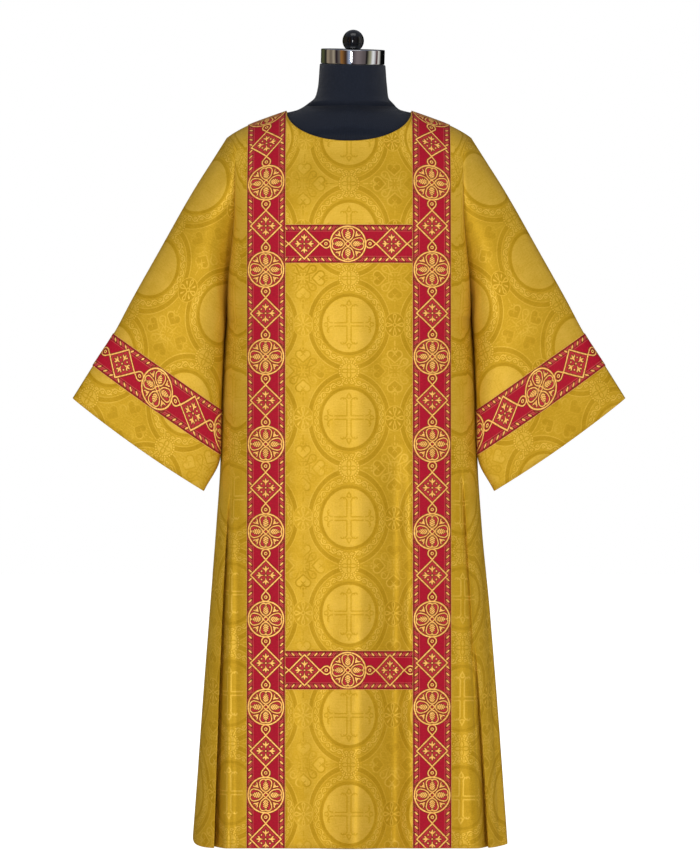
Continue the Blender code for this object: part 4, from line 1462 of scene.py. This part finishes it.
def makeKnob():
    # A turned ball that narrows to a foot, with a small collar under it.
    middle = knob["height"] - knob["radius"] * knob["stretch"]
    bpy.ops.mesh.primitive_uv_sphere_add(
        segments=64, ring_count=40, radius=knob["radius"], location=(0, 0, middle)
    )
    thing = bpy.context.object
    thing.scale = (1, 1, knob["stretch"])
    bpy.ops.object.transform_apply(location=True, scale=True)
    bpy.ops.object.mode_set(mode="EDIT")
    cut = middle - knob["radius"] * knob["cut"]
    bpy.ops.mesh.select_all(action="SELECT")
    bpy.ops.mesh.bisect(plane_co=(0, 0, cut), plane_no=(0, 0, 1), clear_inner=True)
    for rise, size in knob["collar"]:
        bpy.ops.mesh.extrude_edges_move(TRANSFORM_OT_translate={"value": (0, 0, rise)})
        bpy.ops.transform.resize(value=(size, size, 1))
    bpy.ops.mesh.extrude_edges_move(
        TRANSFORM_OT_translate={"value": (0, 0, -(cut - knob["sunk"]))}
    )
    bpy.ops.mesh.edge_face_add()
    bpy.ops.mesh.select_all(action="SELECT")
    bpy.ops.mesh.normals_make_consistent(inside=False)
    seat = capSeat + neckUp * (cap["height"] + cap["gap"])
    finishTurned(thing, "neckKnob", "neck_knob", lacquer, neckTurn, seat)


stand = {
    "baseRadius": 0.135,
    "baseThick": 0.012,
    "baseEdge": 0.0012,
    "baseRings": ((0.006, 0.0), (0.003, -0.0008), (0.097, 0.0008), (0.003, 0.0015)),
    "poleRadius": 0.0117,
    "poleEdge": 0.0005,
    "collarTall": 0.014,
    "collarThick": 0.0014,
}


def makeBase():
    # A spun steel disc with a rolled rim, and a hub that the pole stands in.
    hubTop = float(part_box("base")[1][2])
    thing = addCylinder(stand["baseRadius"], stand["baseThick"], 0.0, 128)
    turnTop(thing, stand["baseRings"])
    hubFoot = stand["baseThick"] + sum(rise for inward, rise in stand["baseRings"])
    bpy.ops.mesh.extrude_region_move(
        TRANSFORM_OT_translate={"value": (0, 0, hubTop - hubFoot)}
    )
    bevelAll(stand["baseEdge"], 3, 50)
    finishTurned(thing, "base", "base", enamel)


def makePole():
    # A steel tube, with a turned collar at its foot and at the torso.
    lowest, highest = (float(corner[2]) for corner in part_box("pole"))
    thing = addCylinder(stand["poleRadius"], highest - lowest, lowest, 64)
    ends = (lowest + stand["collarTall"], highest - stand["collarTall"])
    for height in ends:
        bpy.ops.mesh.select_all(action="SELECT")
        bpy.ops.mesh.bisect(plane_co=(0, 0, height), plane_no=(0, 0, 1))
    selectFaces(
        thing,
        lambda centre, normal: abs(normal.z) < 0.1 and not ends[0] < centre.z < ends[1],
    )
    bpy.ops.mesh.extrude_region_shrink_fatten(
        MESH_OT_extrude_region={"use_normal_flip": False},
        TRANSFORM_OT_shrink_fatten={"value": stand["collarThick"]},
    )
    bevelAll(stand["poleEdge"], 3, 50)
    finishTurned(thing, "pole", "pole", enamel)


makeTorso()
makeCap()
makeKnob()
makeBase()
makePole()
print("made the form and its stand")

# A white sweep, a narrow tall light in front, a soft one above and one at each side.
studio = {
    "camera": (0.0018, -8.0, 0.7365),
    "lens": 184.8,
    "ambient": 0.25,
    "floorGlow": 0.45,
    "ceilingTurn": 5.0,  # how fast the mirrored room goes over to its ceiling
    "ceilingFrom": 0.44,  # and from which height of the way seen
    "mirrored": ("key", "top"),  # lights that show in what shines
    "lights": [
        # name, place, width, height, power
        ("key", (-0.5, -5.1, 0.86), 0.26, 1.6, 61),
        ("top", (0.0, -1.4, 4.4), 2.6, 1.6, 26),
        ("left", (-3.3, -3.8, 1.4), 0.8, 2.4, 60),
        ("right", (3.3, -3.8, 1.4), 0.8, 2.4, 64),
    ],
    "aim": (0, 0, 0.72),
}
bpy.ops.object.camera_add(location=studio["camera"], rotation=(math.pi / 2, 0, 0))
camera = bpy.context.object
camera.data.lens = studio["lens"]
camera.data.sensor_width = 36
camera.data.clip_end = 100
bpy.context.scene.camera = camera

bpy.ops.mesh.primitive_plane_add(size=30, location=(0, 0, 0))
floor = bpy.context.object
floor.name = "floor"
paper, tree, shader = newMaterial(
    "whitePaperSweep", Base_Color=(0.9, 0.9, 0.9, 1.0), Roughness=0.9,
    Emission_Color=(1.0, 1.0, 1.0, 1.0),
)
seen = addNode(tree, "ShaderNodeLightPath")
glow = seen * (1.0 - studio["floorGlow"]) + studio["floorGlow"]
tree.links.new(glow.socket, shader.inputs["Emission Strength"])
fibres = addNode(tree, "ShaderNodeTexNoise", {"Scale": 300.0, "Detail": 2.0})
bump = addNode(tree, "ShaderNodeBump", {"Height": fibres, "Strength": 0.1, "Distance": 0.0005})
tree.links.new(bump.socket, shader.inputs["Normal"])
floor.data.materials.append(paper)
floor.visible_glossy = False

# The backdrop is white to the camera and gives an even, weak light. What shines mirrors a dark
# room with lit walls in it, so that the chrome shows upright stripes.
room = [
    # sine of half the angle from the front, colour
    (-1.00, "#0C0C0C"),
    (-0.92, "#55583A"),
    (-0.84, "#2A2826"),
    (-0.79, "#A8977E"),
    (-0.68, "#7C6F60"),
    (-0.60, "#B0A28C"),
    (-0.52, "#2C2028"),
    (-0.42, "#6E665E"),
    (-0.37, "#A2703A"),
    (-0.22, "#4A3426"),
    (-0.08, "#B4C4E0"),
    (-0.03, "#4C4248"),
    (0.16, "#85797A"),
    (0.38, "#6A6060"),
    (0.44, "#161416"),
    (0.55, "#A8A488"),
    (0.64, "#FFFFFF"),
    (0.76, "#4A1A1C"),
    (0.80, "#E8E4DC"),
    (0.88, "#0C0C0C"),
]
world = bpy.data.worlds.new("studio")
bpy.context.scene.world = world
world.use_nodes = True
tree = world.node_tree
sky = tree.nodes["Background"]
seen = addNode(tree, "ShaderNodeLightPath")
mirrored = Field(tree, seen.socket.node.outputs["Is Glossy Ray"])
way = addNode(tree, "ShaderNodeTexCoord")
split = addNode(tree, "ShaderNodeSeparateXYZ", (way,))
ahead = Field(tree, split.socket.node.outputs[1]) * -1.0
turn = split.math("ARCTAN2", ahead) * (0.5 / math.pi) + 0.5
bands = addNode(tree, "ShaderNodeValToRGB", (turn,))
stops = bands.socket.node.color_ramp
stops.interpolation = "EASE"
for number, (place, colour) in enumerate(room):
    at = math.asin(place) / math.pi + 0.5
    stop = stops.elements[0] if number == 0 else stops.elements.new(at)
    stop.position = at
    stop.color = hexColour(colour)
stops.elements.remove(stops.elements[len(room)])
above = Field(tree, split.socket.node.outputs[2]) - studio["ceilingFrom"]
ceiling = above.math("MULTIPLY", studio["ceilingTurn"], use_clamp=True)
bands = addNode(
    tree, "ShaderNodeMix", {0: ceiling, 6: bands, 7: hexColour("#969BA8")},
    output=2, data_type="RGBA",
)
plain = tuple([studio["ambient"]] * 3) + (1.0,)
shown = addNode(
    tree, "ShaderNodeMix", {0: mirrored, 6: plain, 7: bands}, output=2, data_type="RGBA"
)
shown = addNode(
    tree, "ShaderNodeMix", {0: seen, 6: shown, 7: (1, 1, 1, 1)}, output=2, data_type="RGBA"
)
tree.links.new(shown.socket, sky.inputs["Color"])
bpy.context.scene.view_settings.view_transform = "Standard"

for name, place, width, height, power in studio["lights"]:
    bpy.ops.object.light_add(type="AREA", location=place)
    light = bpy.context.object
    light.name = name
    light.data.shape = "RECTANGLE"
    light.data.size = width
    light.data.size_y = height
    light.data.energy = power
    light.visible_glossy = name in studio["mirrored"]
    aim = Vector(studio["aim"]) - Vector(place)
    light.rotation_euler = aim.to_track_quat("-Z", "Y").to_euler()
